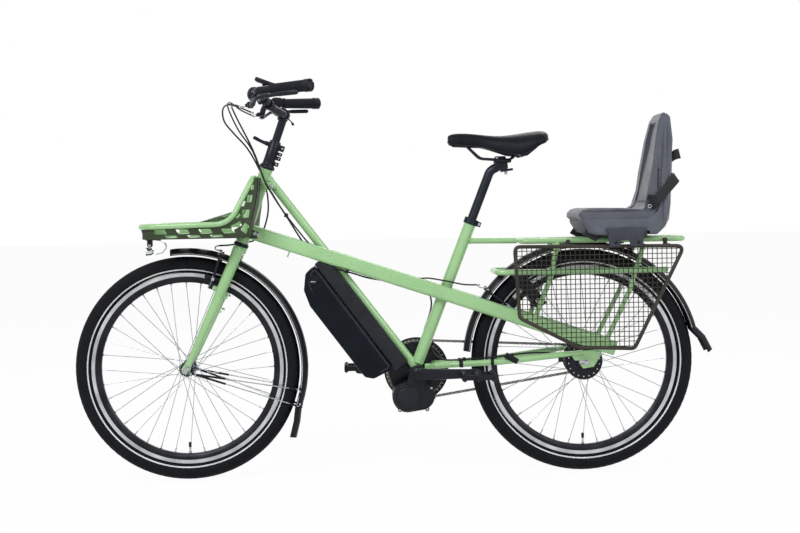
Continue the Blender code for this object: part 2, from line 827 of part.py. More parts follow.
def chain():
    run = (rear_axle - bottom_bracket).length
    heading = atan2(rear_axle.z - bottom_bracket.z, rear_axle.x - bottom_bracket.x)
    tilt = asin_of((chainring_radius - sprocket_radius) / run)
    points = []
    for centre, radius, start, sweep_angle, steps in (
        (bottom_bracket, chainring_radius, heading + pi / 2 - tilt, pi + 2 * tilt, 18),
        (rear_axle, sprocket_radius, heading - pi / 2 + tilt, pi - 2 * tilt, 12),
    ):
        for i in range(steps + 1):
            angle = start + sweep_angle * i / steps
            points.append(centre + Vector((radius * cos(angle), chain_line, radius * sin(angle))))
    add("chain", sweep(points, rectangle(5.6 * mm, 2 * chain_half_height), across, closed=True), "steel")


def asin_of(value):
    return atan2(value, sqrt(1 - value * value))


def rear_sprocket(holder):
    profile = [(43 * mm, 12.7 * mm), (43 * mm, 33.4 * mm), (47 * mm, 33.4 * mm), (47 * mm, 12.7 * mm)]
    add("rear_sprocket", turned(profile, rear_axle, across, 32, ring=True), "steel", rear_axle, holder)


# Wheels
def tyre(name, hub, holder):
    half = [(10.5, tyre_bead / mm), (20, 291), (24.5, 305), (19.5, 322), (0, 330)]
    profile = [(a * mm, r * mm) for a, r in half] + [(-a * mm, r * mm) for a, r in reversed(half[:-1])]
    add(name, turned(profile, hub, across, 32, ring=True), "rubber", hub, holder)


def rim(name, hub, holder):
    half = rim_width / 2
    profile = [(-half, rim_outer), (half, rim_outer), (half, 266 * mm), (6 * mm, rim_inner), (-6 * mm, rim_inner),
               (-half, 266 * mm)]
    add(name, turned(profile, hub, across, 32, ring=True), "rim", hub, holder)


def spokes(hub, flange, flange_radius, twist):
    """Tangential spokes, leading ones outside the flange and trailing ones inside it."""
    bm = bmesh.new()
    for i in range(spoke_count):
        side = 1 if i % 2 else -1
        leading = 1 if (i // 2) % 2 else -1
        rim_angle = 360 / spoke_count * i
        start = round_wheel(hub, rim_angle + leading * twist, flange_radius, side * (flange + leading * 1.4 * mm))
        end = round_wheel(hub, rim_angle, rim_inner - 2.1 * mm, side * 3 * mm)
        sweep([start, end], circle(spoke_radius, 3), bm=bm)
    return bm


def front_hub(holder):
    profile = [
        (-48 * mm, 5.4 * mm), (-48 * mm, 9 * mm), (-36 * mm, 12 * mm), (-34 * mm, 22 * mm), (-29 * mm, 22 * mm),
        (-26 * mm, 11 * mm), (26 * mm, 11 * mm), (29 * mm, 22 * mm), (34 * mm, 22 * mm), (36 * mm, 12 * mm),
        (48 * mm, 9 * mm), (48 * mm, 5.4 * mm),
    ]
    piece = add("front_hub", turned(profile, front_axle, across, 14, ring=True), "steel", front_axle, holder)
    join(piece, spokes(front_axle, 31.5 * mm, 19.5 * mm, 62))


def rear_hub(holder):
    profile = [
        (-66 * mm, 5.6 * mm), (-66 * mm, 11.5 * mm), (-46 * mm, 14 * mm), (-42 * mm, 52 * mm), (-36 * mm, 56 * mm),
        (-28 * mm, 54 * mm), (-22 * mm, 46 * mm), (24 * mm, 46 * mm), (27 * mm, 52 * mm), (34 * mm, 52 * mm),
        (38 * mm, 30 * mm), (39 * mm, 11.5 * mm), (66 * mm, 11.5 * mm), (66 * mm, 5.6 * mm),
    ]
    piece = add("rear_hub", turned(profile, rear_axle, across, 22, ring=True), "case", rear_axle, holder)
    join(piece, spokes(rear_axle, 31 * mm, 50 * mm, 30))


def front_axle_piece(steering):
    profile = [
        (-70 * mm, 0), (-70 * mm, 4.6 * mm), (-65 * mm, 4.6 * mm), (-65 * mm, 9 * mm), (-57 * mm, 9 * mm),
        (-57 * mm, 4.6 * mm), (57 * mm, 4.6 * mm), (57 * mm, 9 * mm), (65 * mm, 9 * mm), (65 * mm, 4.6 * mm),
        (70 * mm, 4.6 * mm), (70 * mm, 0),
    ]
    add("front_axle", turned(profile, front_axle, across, 8), "steel", front_axle, steering)


def rear_axle_piece():
    profile = [
        (-88 * mm, 0), (-88 * mm, 4.8 * mm), (-83.5 * mm, 4.8 * mm), (-83.5 * mm, 10 * mm), (-75.4 * mm, 10 * mm),
        (-75.4 * mm, 4.8 * mm), (75.4 * mm, 4.8 * mm), (75.4 * mm, 10 * mm), (83.5 * mm, 10 * mm),
        (83.5 * mm, 4.8 * mm), (88 * mm, 4.8 * mm), (88 * mm, 0),
    ]
    add("rear_axle", turned(profile, rear_axle, across, 8), "steel")


# Mudguards
def guard_section():
    outer = [(27, 343), (18, 353), (0, 355), (-18, 353), (-27, 343)]
    inner = [(-25, 343), (-17, 351), (0, 353), (17, 351), (25, 343)]
    return [(a * mm, (r - 350) * mm) for a, r in outer + inner]


def mudguard(hub, start, end, flap, steps):
    """An arched shell over the tyre, with a flap that leaves its lower end."""
    path = [round_wheel(hub, start + (end - start) * i / steps, 350 * mm) for i in range(steps + 1)]
    path += [Vector(p) for p in flap]
    section = guard_section() if end < start else [(a, -r) for a, r in guard_section()]
    return sweep(path, section, across)


def front_mudguard(steering):
    flap = [(-292 * mm, 0, 165 * mm), (-304 * mm, 0, 118 * mm)]
    body = mudguard(front_axle, 97, -20, flap, 17)
    piece = add("front_mudguard", body, "black", front_axle, steering)
    for side in (-1, 1):
        for z in (262 * mm, 212 * mm):
            stay = [
                front_axle + Vector((14 * mm, side * 60 * mm, -10 * mm)),
                front_axle + Vector((24 * mm, side * 60 * mm, -12 * mm)),
                Vector((-290 * mm, side * 26 * mm, z)),
            ]
            join(piece, sweep(stay, circle(1.8 * mm, 6), across))
        clip = Vector((-284 * mm, side * 27 * mm, 237 * mm))
        join(piece, block((9 * mm, 3 * mm, 60 * mm), clip))
        join(piece, block((20 * mm, 5 * mm, 7 * mm), front_axle + Vector((16 * mm, side * 61.5 * mm, -10.5 * mm))))
    join(piece, block((10 * mm, 16 * mm, 30 * mm), on_steerer(-36 * mm) + Vector((-8 * mm, 0, -14 * mm)), steer_up))


def rear_mudguard():
    flap = [(920 * mm, 0, 392 * mm), (940.5 * mm, 0, 352 * mm)]
    body = mudguard(rear_axle, 174.5, 15, flap, 22)
    piece = add("rear_mudguard", body, "black")
    join(piece, block((10 * mm, 40 * mm, 14 * mm), Vector((700 * mm, 0, 655.5 * mm))))


# Fork and steering
def fork(steering):
    piece = add("fork", rod(on_steerer(-34 * mm), on_steerer(head_length + 7.4 * mm), steerer_radius, 14), "green",
                head_foot, steering)
    join(piece, rod(on_steerer(-30 * mm), on_steerer(-1.2 * mm), 21 * mm, 14))
    crown = rod(on_steerer(-26 * mm, 0, -46 * mm), on_steerer(-26 * mm, 0, 46 * mm), 15.5 * mm, 10)
    join(piece, crown)
    for side in (-1, 1):
        path = [
            on_steerer(-16 * mm, 0, side * 45 * mm),
            Vector((-468 * mm, side * 46 * mm, 645 * mm)),
            Vector((-489 * mm, side * 47 * mm, 600 * mm)),
            Vector((-549 * mm, side * 50.5 * mm, 469 * mm)),
            Vector((-609 * mm, side * 53.5 * mm, 341 * mm)),
        ]
        sizes = [(1.0, 1.0), (1.0, 1.0), (0.98, 0.98), (0.8, 0.8), (0.55, 0.55)]
        join(piece, sweep(path, circle(16 * mm, 10), upward, scale=sizes))
        end = capsule((front_axle.x, front_axle.z), (-605 * mm, 352 * mm), 13 * mm, 8 * mm, 4)
        join(piece, slab(end, *sorted((side * 50 * mm, side * 56 * mm))))
        pivot = front_brake_pivot(side)
        join(piece, rod(pivot - front_brake_axis * 38 * mm, pivot + front_brake_axis * 8 * mm, 3.5 * mm, 8))
        join(piece, rod(pivot - front_brake_axis * 38 * mm, pivot - front_brake_axis * 6.5 * mm, 7 * mm, 8))
    cut(
        piece,
        rod(on_steerer(-60 * mm), on_steerer(head_length + 20 * mm), 12.7 * mm, 16),
        rod(front_axle - across * 70 * mm, front_axle + across * 70 * mm, 5.2 * mm, 12),
    )


def stem_clamp(steering):
    body = rod(on_steerer(head_length + 6 * mm), on_steerer(314 * mm), 17 * mm, 16)
    piece = add("stem_clamp", body, "black", head_foot, steering)
    join(piece, rod(on_steerer(head_length + 0.6 * mm), on_steerer(head_length + 12 * mm), 19 * mm, 16))
    for along in (250, 274, 298):
        join(piece, block((11 * mm, 14 * mm, 14 * mm), on_steerer(along * mm, -20 * mm), steer_up, across))
    hinge = stem_lever_pivot
    for side in (-1, 1):
        ear = on_steerer(300 * mm, 19 * mm, side * 9 * mm)
        join(piece, block((12 * mm, 4 * mm, 14 * mm), ear, steer_up, across))
    join(piece, rod(hinge - across * 10 * mm, hinge + across * 10 * mm, 2.5 * mm, 10))
    cut(piece, rod(on_steerer(head_length - 4 * mm), on_steerer(head_length + 8 * mm), 14.9 * mm, 16))
    cut(piece, rod(on_steerer(head_length - 4 * mm), on_steerer(320 * mm), 12.7 * mm, 16))
    cut(piece, block((90 * mm, 2 * mm, 20 * mm), on_steerer(276 * mm, -22 * mm), steer_up, across))


stem_lever_pivot = head_foot + steer_up * 300 * mm + steer_front * 23 * mm


def stem_lever(holder):
    tip = Vector((-404 * mm, 0, 1006 * mm))
    start = (stem_lever_pivot.x, stem_lever_pivot.z)
    piece = add("stem_lever", slab(capsule(start, (tip.x, tip.z), 5 * mm, 4 * mm, 6), -6.5 * mm, 6.5 * mm),
                "anodised", stem_lever_pivot, holder)
    cut(piece, rod(stem_lever_pivot - across * 9 * mm, stem_lever_pivot + across * 9 * mm, 2.9 * mm, 10))


# Cockpit
bar_clamp = Vector((-315 * mm, 0, 1070 * mm))
grip_start = Vector((-334 * mm, 260 * mm, 1124 * mm))
grip_end = Vector((-223 * mm, 325 * mm, 1128 * mm))
grip_run = (grip_end - grip_start).normalized()


def bar_path():
    right = [
        bar_clamp + across * 32 * mm,
        Vector((-340 * mm, 72 * mm, 1083 * mm)),
        Vector((-374 * mm, 150 * mm, 1115 * mm)),
        grip_start - grip_run * 50 * mm,
        grip_end - grip_run * 1.5 * mm,
    ]
    left = [mirrored(p) for p in reversed(right)]
    return rounded(left + right, 26 * mm, 2)


def handlebar(cockpit):
    add("handlebar", sweep(bar_path(), circle(bar_radius, 8), upward), "black", bar_clamp, cockpit)


def stem_post(cockpit):
    piece = add("stem_post", rod(on_steerer(140 * mm), bar_clamp + steer_up * 2 * mm, 12 * mm, 14), "anodised",
                bar_clamp, cockpit)
    join(piece, rod(bar_clamp - across * 22 * mm, bar_clamp + across * 22 * mm, 17 * mm, 16))
    cut(piece, rod(bar_clamp - across * 40 * mm, bar_clamp + across * 40 * mm, clear_of(bar_radius, 12), 12))


def grip(side, cockpit):
    name = "grip_left" if side < 0 else "grip_right"
    start, end = (grip_start, grip_end) if side > 0 else (mirrored(grip_start), mirrored(grip_end))
    run = (end - start).normalized()
    inner = clear_of(bar_radius, 12)
    length = (end - start).length
    profile = [
        (0, inner), (0, 17 * mm), (4 * mm, 17 * mm), (6 * mm, 15 * mm), (length / 2, 16 * mm),
        (length - 6 * mm, 15 * mm), (length - 4 * mm, 17 * mm), (length, 16 * mm), (length, inner),
    ]
    add(name, turned(profile, start, run, 12, ring=True), "rubber", start, cockpit)


def twist_shifter(holder):
    start = grip_start - grip_run * 32 * mm
    profile = [(0, clear_of(bar_radius)), (0, 18 * mm), (5 * mm, 19.5 * mm), (24 * mm, 18.5 * mm), (29 * mm, 17 * mm),
               (29 * mm, clear_of(bar_radius))]
    add("twist_shifter", turned(profile, start, grip_run, 16, ring=True), "rubber", start, holder)


def lever_frame(side):
    """Pivot, blade points and hinge axis of one brake lever."""
    pivot = Vector((-396 * mm, side * 232 * mm, 1084 * mm))
    blade = [
        pivot,
        pivot + Vector((5 * mm, side * 17 * mm, 0)),
        Vector((-374 * mm, side * 284 * mm, 1099 * mm)),
        Vector((-312 * mm, side * 330 * mm, 1104 * mm)),
        Vector((-262 * mm, side * 358 * mm, 1106 * mm)),
    ]
    return pivot, blade, -side * upward


def brake_bracket(side, cockpit):
    name = "brake_bracket_left" if side < 0 else "brake_bracket_right"
    centre = Vector((-375.2 * mm, side * 183 * mm, 1118 * mm))
    run = Vector((-3 * mm, side * 85 * mm, 7.5 * mm)).normalized()
    pivot, blade, axis = lever_frame(side)
    band = rod(centre - run * 7 * mm, centre + run * 7 * mm, 15 * mm, 12)
    piece = add(name, band, "anodised", centre, cockpit)
    middle = Vector((-393 * mm, side * 196 * mm, 1090 * mm))
    join(piece, sweep([centre + Vector((-5 * mm, 0, -8 * mm)), middle, middle + Vector((-2 * mm, side * 17 * mm, -3 * mm))],
                      circle(8 * mm, 8), rearward))
    inward = (axis * axis.dot(across * side) - across * side).normalized()
    for end in (-1, 1):
        join(piece, rod(pivot + axis * end * 5.2 * mm, pivot + axis * end * 8.2 * mm, 8 * mm, 8))
        ear = block((26 * mm, 14 * mm, 3 * mm), pivot + axis * end * 6.7 * mm + inward * 13 * mm, inward,
                    axis.cross(inward))
        join(piece, ear)
    join(piece, rod(pivot - axis * 8 * mm, pivot + axis * 8 * mm, 2.5 * mm, 10))
    join(piece, rod(middle, Vector((-414 * mm, side * 196 * mm, 1084 * mm)), 5 * mm, 8))
    cut(piece, rod(centre - run * 30 * mm, centre + run * 30 * mm, clear_of(bar_radius, 12), 12))


def brake_lever(side, holder):
    name = "brake_lever_left" if side < 0 else "brake_lever_right"
    pivot, blade, axis = lever_frame(side)
    path = rounded(blade, 30 * mm, 3)
    piece = add(name, rod(pivot - axis * 4.7 * mm, pivot + axis * 4.7 * mm, 7 * mm, 12), "anodised", pivot, holder)
    section = [(4.5 * mm * a, 4 * mm * b) for a, b in circle(1.0, 8)]
    join(piece, sweep(path, section, axis))
    tip = blade[-1]
    join(piece, turned([(-5.5 * mm, 0), (-3 * mm, 5 * mm), (3 * mm, 5 * mm), (5.5 * mm, 0)], tip,
                       (tip - blade[-2]).normalized(), 8))
    cut(piece, rod(pivot - axis * 9 * mm, pivot + axis * 9 * mm, 2.9 * mm, 10))


def bell(cockpit):
    centre = Vector((-391 * mm, -128 * mm, 1122 * mm))
    face = Vector((-0.94, -0.1, 0.25)).normalized()
    dome = [(0, 0), (0, 20 * mm), (8 * mm, 21 * mm), (14 * mm, 18 * mm), (19 * mm, 11 * mm), (21 * mm, 0)]
    piece = add("bell", turned(dome, centre, face, 16), "black", centre, cockpit)
    join(piece, block((22 * mm, 12 * mm, 10 * mm), Vector((-383 * mm, -128 * mm, 1113 * mm))))
    band = Vector((-364.4 * mm, -128 * mm, 1106 * mm))
    run = Vector((34 * mm, 78 * mm, -32 * mm)).normalized()
    join(piece, rod(band - run * 6 * mm, band + run * 6 * mm, 14 * mm, 12))
    cut(piece, rod(band - run * 25 * mm, band + run * 25 * mm, clear_of(bar_radius, 12), 12))


def display(cockpit):
    band = Vector((-352.2 * mm, -100 * mm, 1094.5 * mm))
    run = Vector((34 * mm, 78 * mm, -32 * mm)).normalized()
    piece = add("display", rod(band - run * 7 * mm, band + run * 7 * mm, 15 * mm, 14), "case", band, cockpit)
    centre = Vector((-362 * mm, -100 * mm, 1157 * mm))
    join(
        piece,
        soften(block((58 * mm, 46 * mm, 12 * mm), centre, Vector((0.93, 0, -0.36))), 3 * mm),
        block((14 * mm, 12 * mm, 60 * mm), Vector((-358 * mm, -100 * mm, 1128 * mm)), rearward),
    )
    cut(piece, rod(band - run * 25 * mm, band + run * 25 * mm, clear_of(bar_radius, 12), 12))


# Rim brakes
front_brake_radial = Vector((77, 0, 241)).normalized()
front_brake_axis = Vector((-front_brake_radial.z, 0, front_brake_radial.x))
rear_brake_radial = Vector((cos(radians(143)), 0, sin(radians(143))))
rear_brake_axis = Vector((rear_brake_radial.z, 0, -rear_brake_radial.x))


def front_brake_pivot(side):
    return front_axle + front_brake_radial * 253 * mm + across * side * 40 * mm


def rear_brake_pivot(side):
    return rear_axle + rear_brake_radial * 253 * mm + across * side * 34 * mm


def brake_arm(name, pivot, radial, axis, side, holder, lean):
    """A long arm with a shoe that meets the rim and a cable end at the top."""
    out = across * side

    def place(outward, along_radial, along_axis=0.0):
        return pivot + out * outward * mm + radial * along_radial * mm + axis * along_axis * mm

    piece = add(name, rod(place(0, 0, -5), place(0, 0, 5), 6.6 * mm, 12), "anodised", pivot, holder)
    path = [place(0, 0), place(-0.5, 40), place(lean * 0.6, 75), place(lean, 104)]
    join(piece, sweep(path, rectangle(7.4 * mm, 8 * mm), axis))
    shoe_face = abs(pivot.y) / mm - rim_width / 2 / mm - 1.4
    join(
        piece,
        rod(place(0, 24), place(-shoe_face + 8, 24), 3.5 * mm, 8),
        block((9 * mm, 11 * mm, 58 * mm), place(-shoe_face + 4.5, 24), out, radial),
    )
    cut(piece, rod(place(0, 0, -9), place(0, 0, 14), 4.1 * mm, 12))


# Saddle and post
saddle_pivot = Vector((319 * mm, 0, 912 * mm))


def seatpost(holder):
    path = rounded(
        [seat_foot + seat_up * 205 * mm, seat_top + seat_up * 155 * mm, Vector((315 * mm, 0, 909 * mm))], 30 * mm, 3
    )
    piece = add("seatpost", sweep(path, circle(post_radius, 14), across), "anodised", seat_top, holder)
    join(piece, rod(saddle_pivot - across * 13 * mm, saddle_pivot + across * 13 * mm, 11 * mm, 16))
    join(piece, rod(saddle_pivot - across * 22 * mm, saddle_pivot + across * 22 * mm, 4 * mm, 12))


def saddle_rails(holder):
    """Two rails clamped between side plates, with blocks that meet the saddle's underside."""
    piece = None
    for side in (-1, 1):
        rail = rounded(
            [
                Vector((190 * mm, side * 9 * mm, 964 * mm)),
                Vector((266 * mm, side * 19 * mm, 930 * mm)),
                Vector((356 * mm, side * 20 * mm, 925 * mm)),
                Vector((432 * mm, side * 34 * mm, 967 * mm)),
            ],
            30 * mm, 3,
        )
        bar = sweep(rail, circle(3.5 * mm, 6), upward)
        plate = block((36 * mm, 4 * mm, 36 * mm), Vector((319 * mm, side * 17.5 * mm, 920 * mm)))
        if piece is None:
            piece = add("saddle_rails", bar, "steel", saddle_pivot, holder)
        else:
            join(piece, bar)
        join(piece, plate)
        join(piece, block((12 * mm, 14 * mm, 10 * mm), Vector((430 * mm, side * 34 * mm, 966.7 * mm))))
    join(piece, block((30 * mm, 38 * mm, 5 * mm), Vector((319 * mm, 0, 935.5 * mm))))
    join(piece, block((12 * mm, 26 * mm, 12 * mm), Vector((193 * mm, 0, 965.7 * mm))))
    cut(piece, rod(saddle_pivot - across * 30 * mm, saddle_pivot + across * 30 * mm, 4.5 * mm, 12))
    cut(piece, rod(saddle_pivot - across * 13.6 * mm, saddle_pivot + across * 13.6 * mm, 12 * mm, 16))


def saddle_cushion(holder):
    """Stations along the saddle: place, half width, top, belly and the lower edge of the sides."""
    stations = [
        (165, 9, 996, 984, 980), (172, 18, 1002, 976, 975), (190, 22, 1006, 972, 970), (218, 24, 1006, 972, 966),
        (250, 27, 1003, 971, 964), (285, 34, 1000, 971, 957), (318, 47, 998, 971, 947), (348, 64, 1000, 971, 937),
        (378, 79, 1004, 972, 934), (408, 87, 1008, 972, 944), (430, 86, 1010, 972, 956), (448, 72, 1008, 978, 970),
        (458, 46, 1001, 984, 980),
    ]
    rings = []
    for x, half, top, belly, low in stations:
        ring = []
        for i in range(9):
            angle = pi * i / 8
            y = half * (1 if cos(angle) > 0 else -1) * abs(cos(angle)) ** 0.75
            z = low + (top - low) * sin(angle) ** 0.8
            ring.append(Vector((x * mm, y * mm, z * mm)))
        for y, z in ((-0.86, low), (-0.72, belly), (0.72, belly), (0.86, low)):
            ring.append(Vector((x * mm, half * y * mm, z * mm)))
        rings.append(ring)
    add("saddle_cushion", loft(bmesh.new(), rings), "rubber", saddle_pivot, holder)


# Child seat
def child_seat_mount():
    plate = block((110 * mm, 288 * mm, 16 * mm), Vector((676 * mm, 0, 704.2 * mm)))
    piece = add("child_seat_mount", soften(plate, 2 * mm), "black")
    for side in (-1, 1):
        for x in (643 * mm, 709 * mm):
            join(piece, block((34 * mm, 9 * mm, 42 * mm), Vector((x, side * 83.2 * mm, 688 * mm))))


def child_seat_shell():
    """A pan notched round its mount and a tall back with side wings, hollowed where the child sits."""
    pan = rounded(
        [(511 * mm, 0, 749 * mm), (521 * mm, 0, 781 * mm), (785 * mm, 0, 783 * mm), (787 * mm, 0, 740 * mm),
         (758 * mm, 0, 699.3 * mm), (574 * mm, 0, 699.3 * mm)],
        16 * mm, 3, closed=True,
    )
    body = soften(slab([(p.x, p.z) for p in pan], -150 * mm, 150 * mm), 8 * mm, angle=60)
    piece = add("child_seat_shell", body, "grey")
    stations = [
        (716, 791, 762, 145), (727, 792, 826, 139), (735, 796, 890, 128), (749, 806, 975, 114),
        (757, 808, 1031, 102), (768, 803, 1057, 80),
    ]
    rings = []
    for front, rear, z, half in stations:
        middle = Vector(((front + rear) / 2 * mm, 0, z * mm))
        ring = []
        for a, b in circle(1.0, 14):
            wide = half * mm * (1 if a > 0 else -1) * abs(a) ** 0.5
            deep = (rear - front) / 2 * mm * (1 if b > 0 else -1) * abs(b) ** 0.6
            ring.append(middle + across * wide + rearward * deep)
        rings.append(ring)
    join(piece, loft(bmesh.new(), rings))
    notch = block((114 * mm, 310 * mm, 26 * mm), Vector((676 * mm, 0, 699.6 * mm)))
    cut(piece, notch, child_seat_hollow())


def child_seat_hollow():
    """The bucket between the side wings, above the pan and before the back."""
    outline = [
        (545 * mm, 767 * mm), (716 * mm, 767 * mm), (727 * mm, 790 * mm), (742 * mm, 870 * mm),
        (764 * mm, 960 * mm), (790 * mm, 1040 * mm), (700 * mm, 1040 * mm), (600 * mm, 830 * mm),
        (545 * mm, 830 * mm),
    ]
    return slab(outline, -84 * mm, 84 * mm)


def child_seat_harness():
    """One web of strap round the seat back, drawn through the slot in front."""
    loop = rounded(
        [(709 * mm, -150 * mm, 808 * mm), (805 * mm, -150 * mm, 873 * mm), (805 * mm, 150 * mm, 873 * mm),
         (709 * mm, 150 * mm, 808 * mm)],
        14 * mm, 3, closed=True,
    )
    normal = Vector((-0.57, 0, 0.82))
    piece = add("child_seat_harness", sweep(loop, rectangle(25 * mm, 2.5 * mm), normal, closed=True), "webbing")
    join(piece, block((22 * mm, 6 * mm, 30 * mm), Vector((710 * mm, -152 * mm, 806 * mm))))


# Ring lock and lamp
def ring_lock():
    radial = Vector((cos(radians(126.5)), 0, sin(radians(126.5))))
    along = Vector((radial.z, 0, -radial.x))
    outline = [
        (-52, 205), (-52, 297), (-40, 332), (-20, 341), (0, 342.4), (20, 341), (40, 332), (46, 297), (46, 225),
        (34, 205), (30, 250), (28.5, 314), (18, 333), (0, 334.6), (-18, 333), (-28.5, 314), (-30, 250), (-32, 205),
    ]
    rings = []
    for end in (-17, 17):
        rings.append([rear_axle + radial * r * mm + across * y * mm + along * end * mm for y, r in outline])
    piece = add("ring_lock", loft(bmesh.new(), rings), "black")
    join(piece, block((34 * mm, 6 * mm, 52 * mm), rear_axle + radial * 246 * mm - across * 50 * mm, along, across))


def headlamp(holder):
    pivot = holder.location_in_bike
    body = [(-11 * mm, 0), (-11 * mm, 6 * mm), (-4 * mm, 11 * mm), (10 * mm, 12.5 * mm), (12 * mm, 12.5 * mm),
            (12 * mm, 10 * mm), (9 * mm, 0)]
    centre = pivot + Vector((0, 0, -17.5 * mm))
    piece = add("headlamp", turned(body, centre, -rearward, 18), "steel", pivot, holder)
    join(piece, block((8 * mm, 12 * mm, 12 * mm), pivot + Vector((0, 0, -3 * mm))))
    cut(piece, rod(pivot - across * 12 * mm, pivot + across * 12 * mm, 2.6 * mm, 10))


# Cables
def frame_cables():
    bundle = [
        (-407 * mm, -26 * mm, 968 * mm), (-375 * mm, -31 * mm, 879 * mm), (-352 * mm, -33 * mm, 838 * mm),
        (-332 * mm, -31 * mm, 803 * mm), (-306 * mm, -22 * mm, 760 * mm), (-281 * mm, -12 * mm, 717 * mm),
        (-260 * mm, -8 * mm, 684 * mm),
    ]
    gear = [(-420 * mm, 160 * mm, 1090 * mm), (-470 * mm, 70 * mm, 1106 * mm), (-460 * mm, 10 * mm, 1075 * mm)]
    gear += bundle + [
        (-240 * mm, -10 * mm, 661 * mm), (-219 * mm, -15.5 * mm, 645 * mm), (-199 * mm, -19 * mm, 633.5 * mm),
        (-183 * mm, -31 * mm, 621.5 * mm), (-160 * mm, -39 * mm, 613.5 * mm), (-118 * mm, -37 * mm, 601 * mm),
        (-84 * mm, -24 * mm, 589 * mm), (-45 * mm, -6 * mm, 580 * mm), (10 * mm, 2 * mm, 571 * mm),
    ]
    brake = [(-480 * mm, 90 * mm, 1116 * mm), (-482 * mm, 25 * mm, 1098 * mm), (-450 * mm, -22 * mm, 1030 * mm)]
    brake += [(-408 * mm, -34 * mm, 966 * mm), (-375 * mm, -39 * mm, 878 * mm), (-352 * mm, -41 * mm, 836 * mm)]
    brake += [(-334 * mm, -40 * mm, 806 * mm), (-308 * mm, -33 * mm, 768 * mm), (-280 * mm, -24 * mm, 730 * mm)]
    brake += [(-256 * mm, -16.2 * mm, 699 * mm), (-232 * mm, -16 * mm, 675 * mm)]
    return gear, brake


def gear_cable():
    route, other = frame_cables()
    route = route + [
        (60 * mm, 4 * mm, 560 * mm), (96 * mm, 6 * mm, 544 * mm), (108 * mm, 14 * mm, 519 * mm),
        (108 * mm, 25 * mm, 490 * mm), (98 * mm, 27 * mm, 455 * mm), (86 * mm, 27 * mm, 420 * mm),
        (92 * mm, 24 * mm, 396 * mm), (104 * mm, 10 * mm, 373 * mm), (114 * mm, -8 * mm, 358 * mm),
        (130 * mm, -24 * mm, 346 * mm), (160 * mm, -31 * mm, 340 * mm), (283 * mm, -51 * mm, 348 * mm),
        (400 * mm, -64 * mm, 360 * mm), (520 * mm, -60 * mm, 354 * mm),
    ]
    cord("gear_cable", route, 2.5 * mm, "rubber", 2)


def rear_brake_cable():
    gear, route = frame_cables()
    route = [(-420 * mm, 196 * mm, 1082 * mm), (-455 * mm, 150 * mm, 1098 * mm)] + route
    route += [
        (-200 * mm, -16.2 * mm, 656 * mm), (-160 * mm, -16.2 * mm, 642 * mm), (-72 * mm, -8 * mm, 618 * mm),
        (60 * mm, -6 * mm, 584 * mm), (100 * mm, -24 * mm, 583 * mm), (150 * mm, -27 * mm, 574 * mm),
        (205 * mm, -24 * mm, 562 * mm), (250 * mm, -20 * mm, 560 * mm),
    ]
    cord("rear_brake_cable", route, 2.3 * mm, "rubber", 2)


def front_brake_cable():
    route = [
        (-421 * mm, -196 * mm, 1082 * mm), (-462 * mm, -150 * mm, 1092 * mm), (-486 * mm, -85 * mm, 1084 * mm),
        (-488 * mm, -28 * mm, 1052 * mm), (-464 * mm, 20 * mm, 1018 * mm), (-428 * mm, 43 * mm, 975 * mm),
        (-396 * mm, 47 * mm, 915 * mm), (-377 * mm, 47 * mm, 860 * mm), (-371 * mm, 46 * mm, 815 * mm),
        (-374 * mm, 46 * mm, 775 * mm), (-388 * mm, 46 * mm, 732 * mm), (-412 * mm, 46 * mm, 704 * mm),
        (-450 * mm, 49 * mm, 696 * mm), (-490 * mm, 52 * mm, 690 * mm), (-520 * mm, 48 * mm, 689 * mm),
    ]
    cord("front_brake_cable", route, 2.5 * mm, "rubber", 2)


# The whole bike
steering = Holder("steering", head_foot)
front_wheel = Holder("front_wheel", front_axle, steering)
rear_wheel = Holder("rear_wheel", rear_axle)
sprocket_body = Holder("sprocket_body", rear_axle)
drive = Holder("drive", bottom_bracket)
left_pedal_place = Holder("left_pedal_place", bottom_bracket + Vector((crank_length, -142 * mm, 0)), drive)
right_pedal_place = Holder("right_pedal_place", bottom_bracket + Vector((-crank_length, 142 * mm, 0)), drive)
cockpit = Holder("cockpit", bar_clamp, steering)
clamp_lever = Holder("clamp_lever", stem_lever_pivot, steering)
post_body = Holder("post_body", seat_top)
saddle_body = Holder("saddle_body", saddle_pivot, post_body)
shifter_body = Holder("shifter_body", grip_start - grip_run * 32 * mm, cockpit)
lamp_body = Holder("lamp_body", Vector((-718 * mm, 0, 694 * mm)))
key_body = Holder("key_body", key_place)

head_and_down_tube()
seat_tube_and_stay()
side_tube(-1)
side_tube(1)
chain_stays()
seat_clamp()
rear_rack()
rack_rear_legs()
pannier_guard()
front_tray()
lamp_bracket()
battery_mount()
battery_case()
battery_key(key_body)
motor_unit()
crank_left(drive)
crank_right(drive)
pedal(-1, 1, left_pedal_place)
pedal(1, -1, right_pedal_place)
chain()
rear_sprocket(sprocket_body)
tyre("front_tyre", front_axle, front_wheel)
tyre("rear_tyre", rear_axle, rear_wheel)
rim("front_rim", front_axle, front_wheel)
rim("rear_rim", rear_axle, rear_wheel)
front_hub(front_wheel)
rear_hub(rear_wheel)
front_axle_piece(steering)
rear_axle_piece()
front_mudguard(steering)
rear_mudguard()
fork(steering)
stem_clamp(steering)
stem_lever(clamp_lever)
handlebar(cockpit)
stem_post(cockpit)
for side in (-1, 1):
    end = "left" if side < 0 else "right"
    grip(side, cockpit)
    brake_bracket(side, cockpit)
    lever_holder = Holder("lever_" + end, lever_frame(side)[0], cockpit)
    brake_lever(side, lever_holder)
    front_arm = Holder("front_arm_" + end, front_brake_pivot(side), steering)
    brake_arm("front_brake_arm_" + end, front_brake_pivot(side), front_brake_radial, front_brake_axis, side,
              front_arm, 1)
    rear_arm = Holder("rear_arm_" + end, rear_brake_pivot(side))
    brake_arm("rear_brake_arm_" + end, rear_brake_pivot(side), rear_brake_radial, rear_brake_axis, side,
              rear_arm, 1)
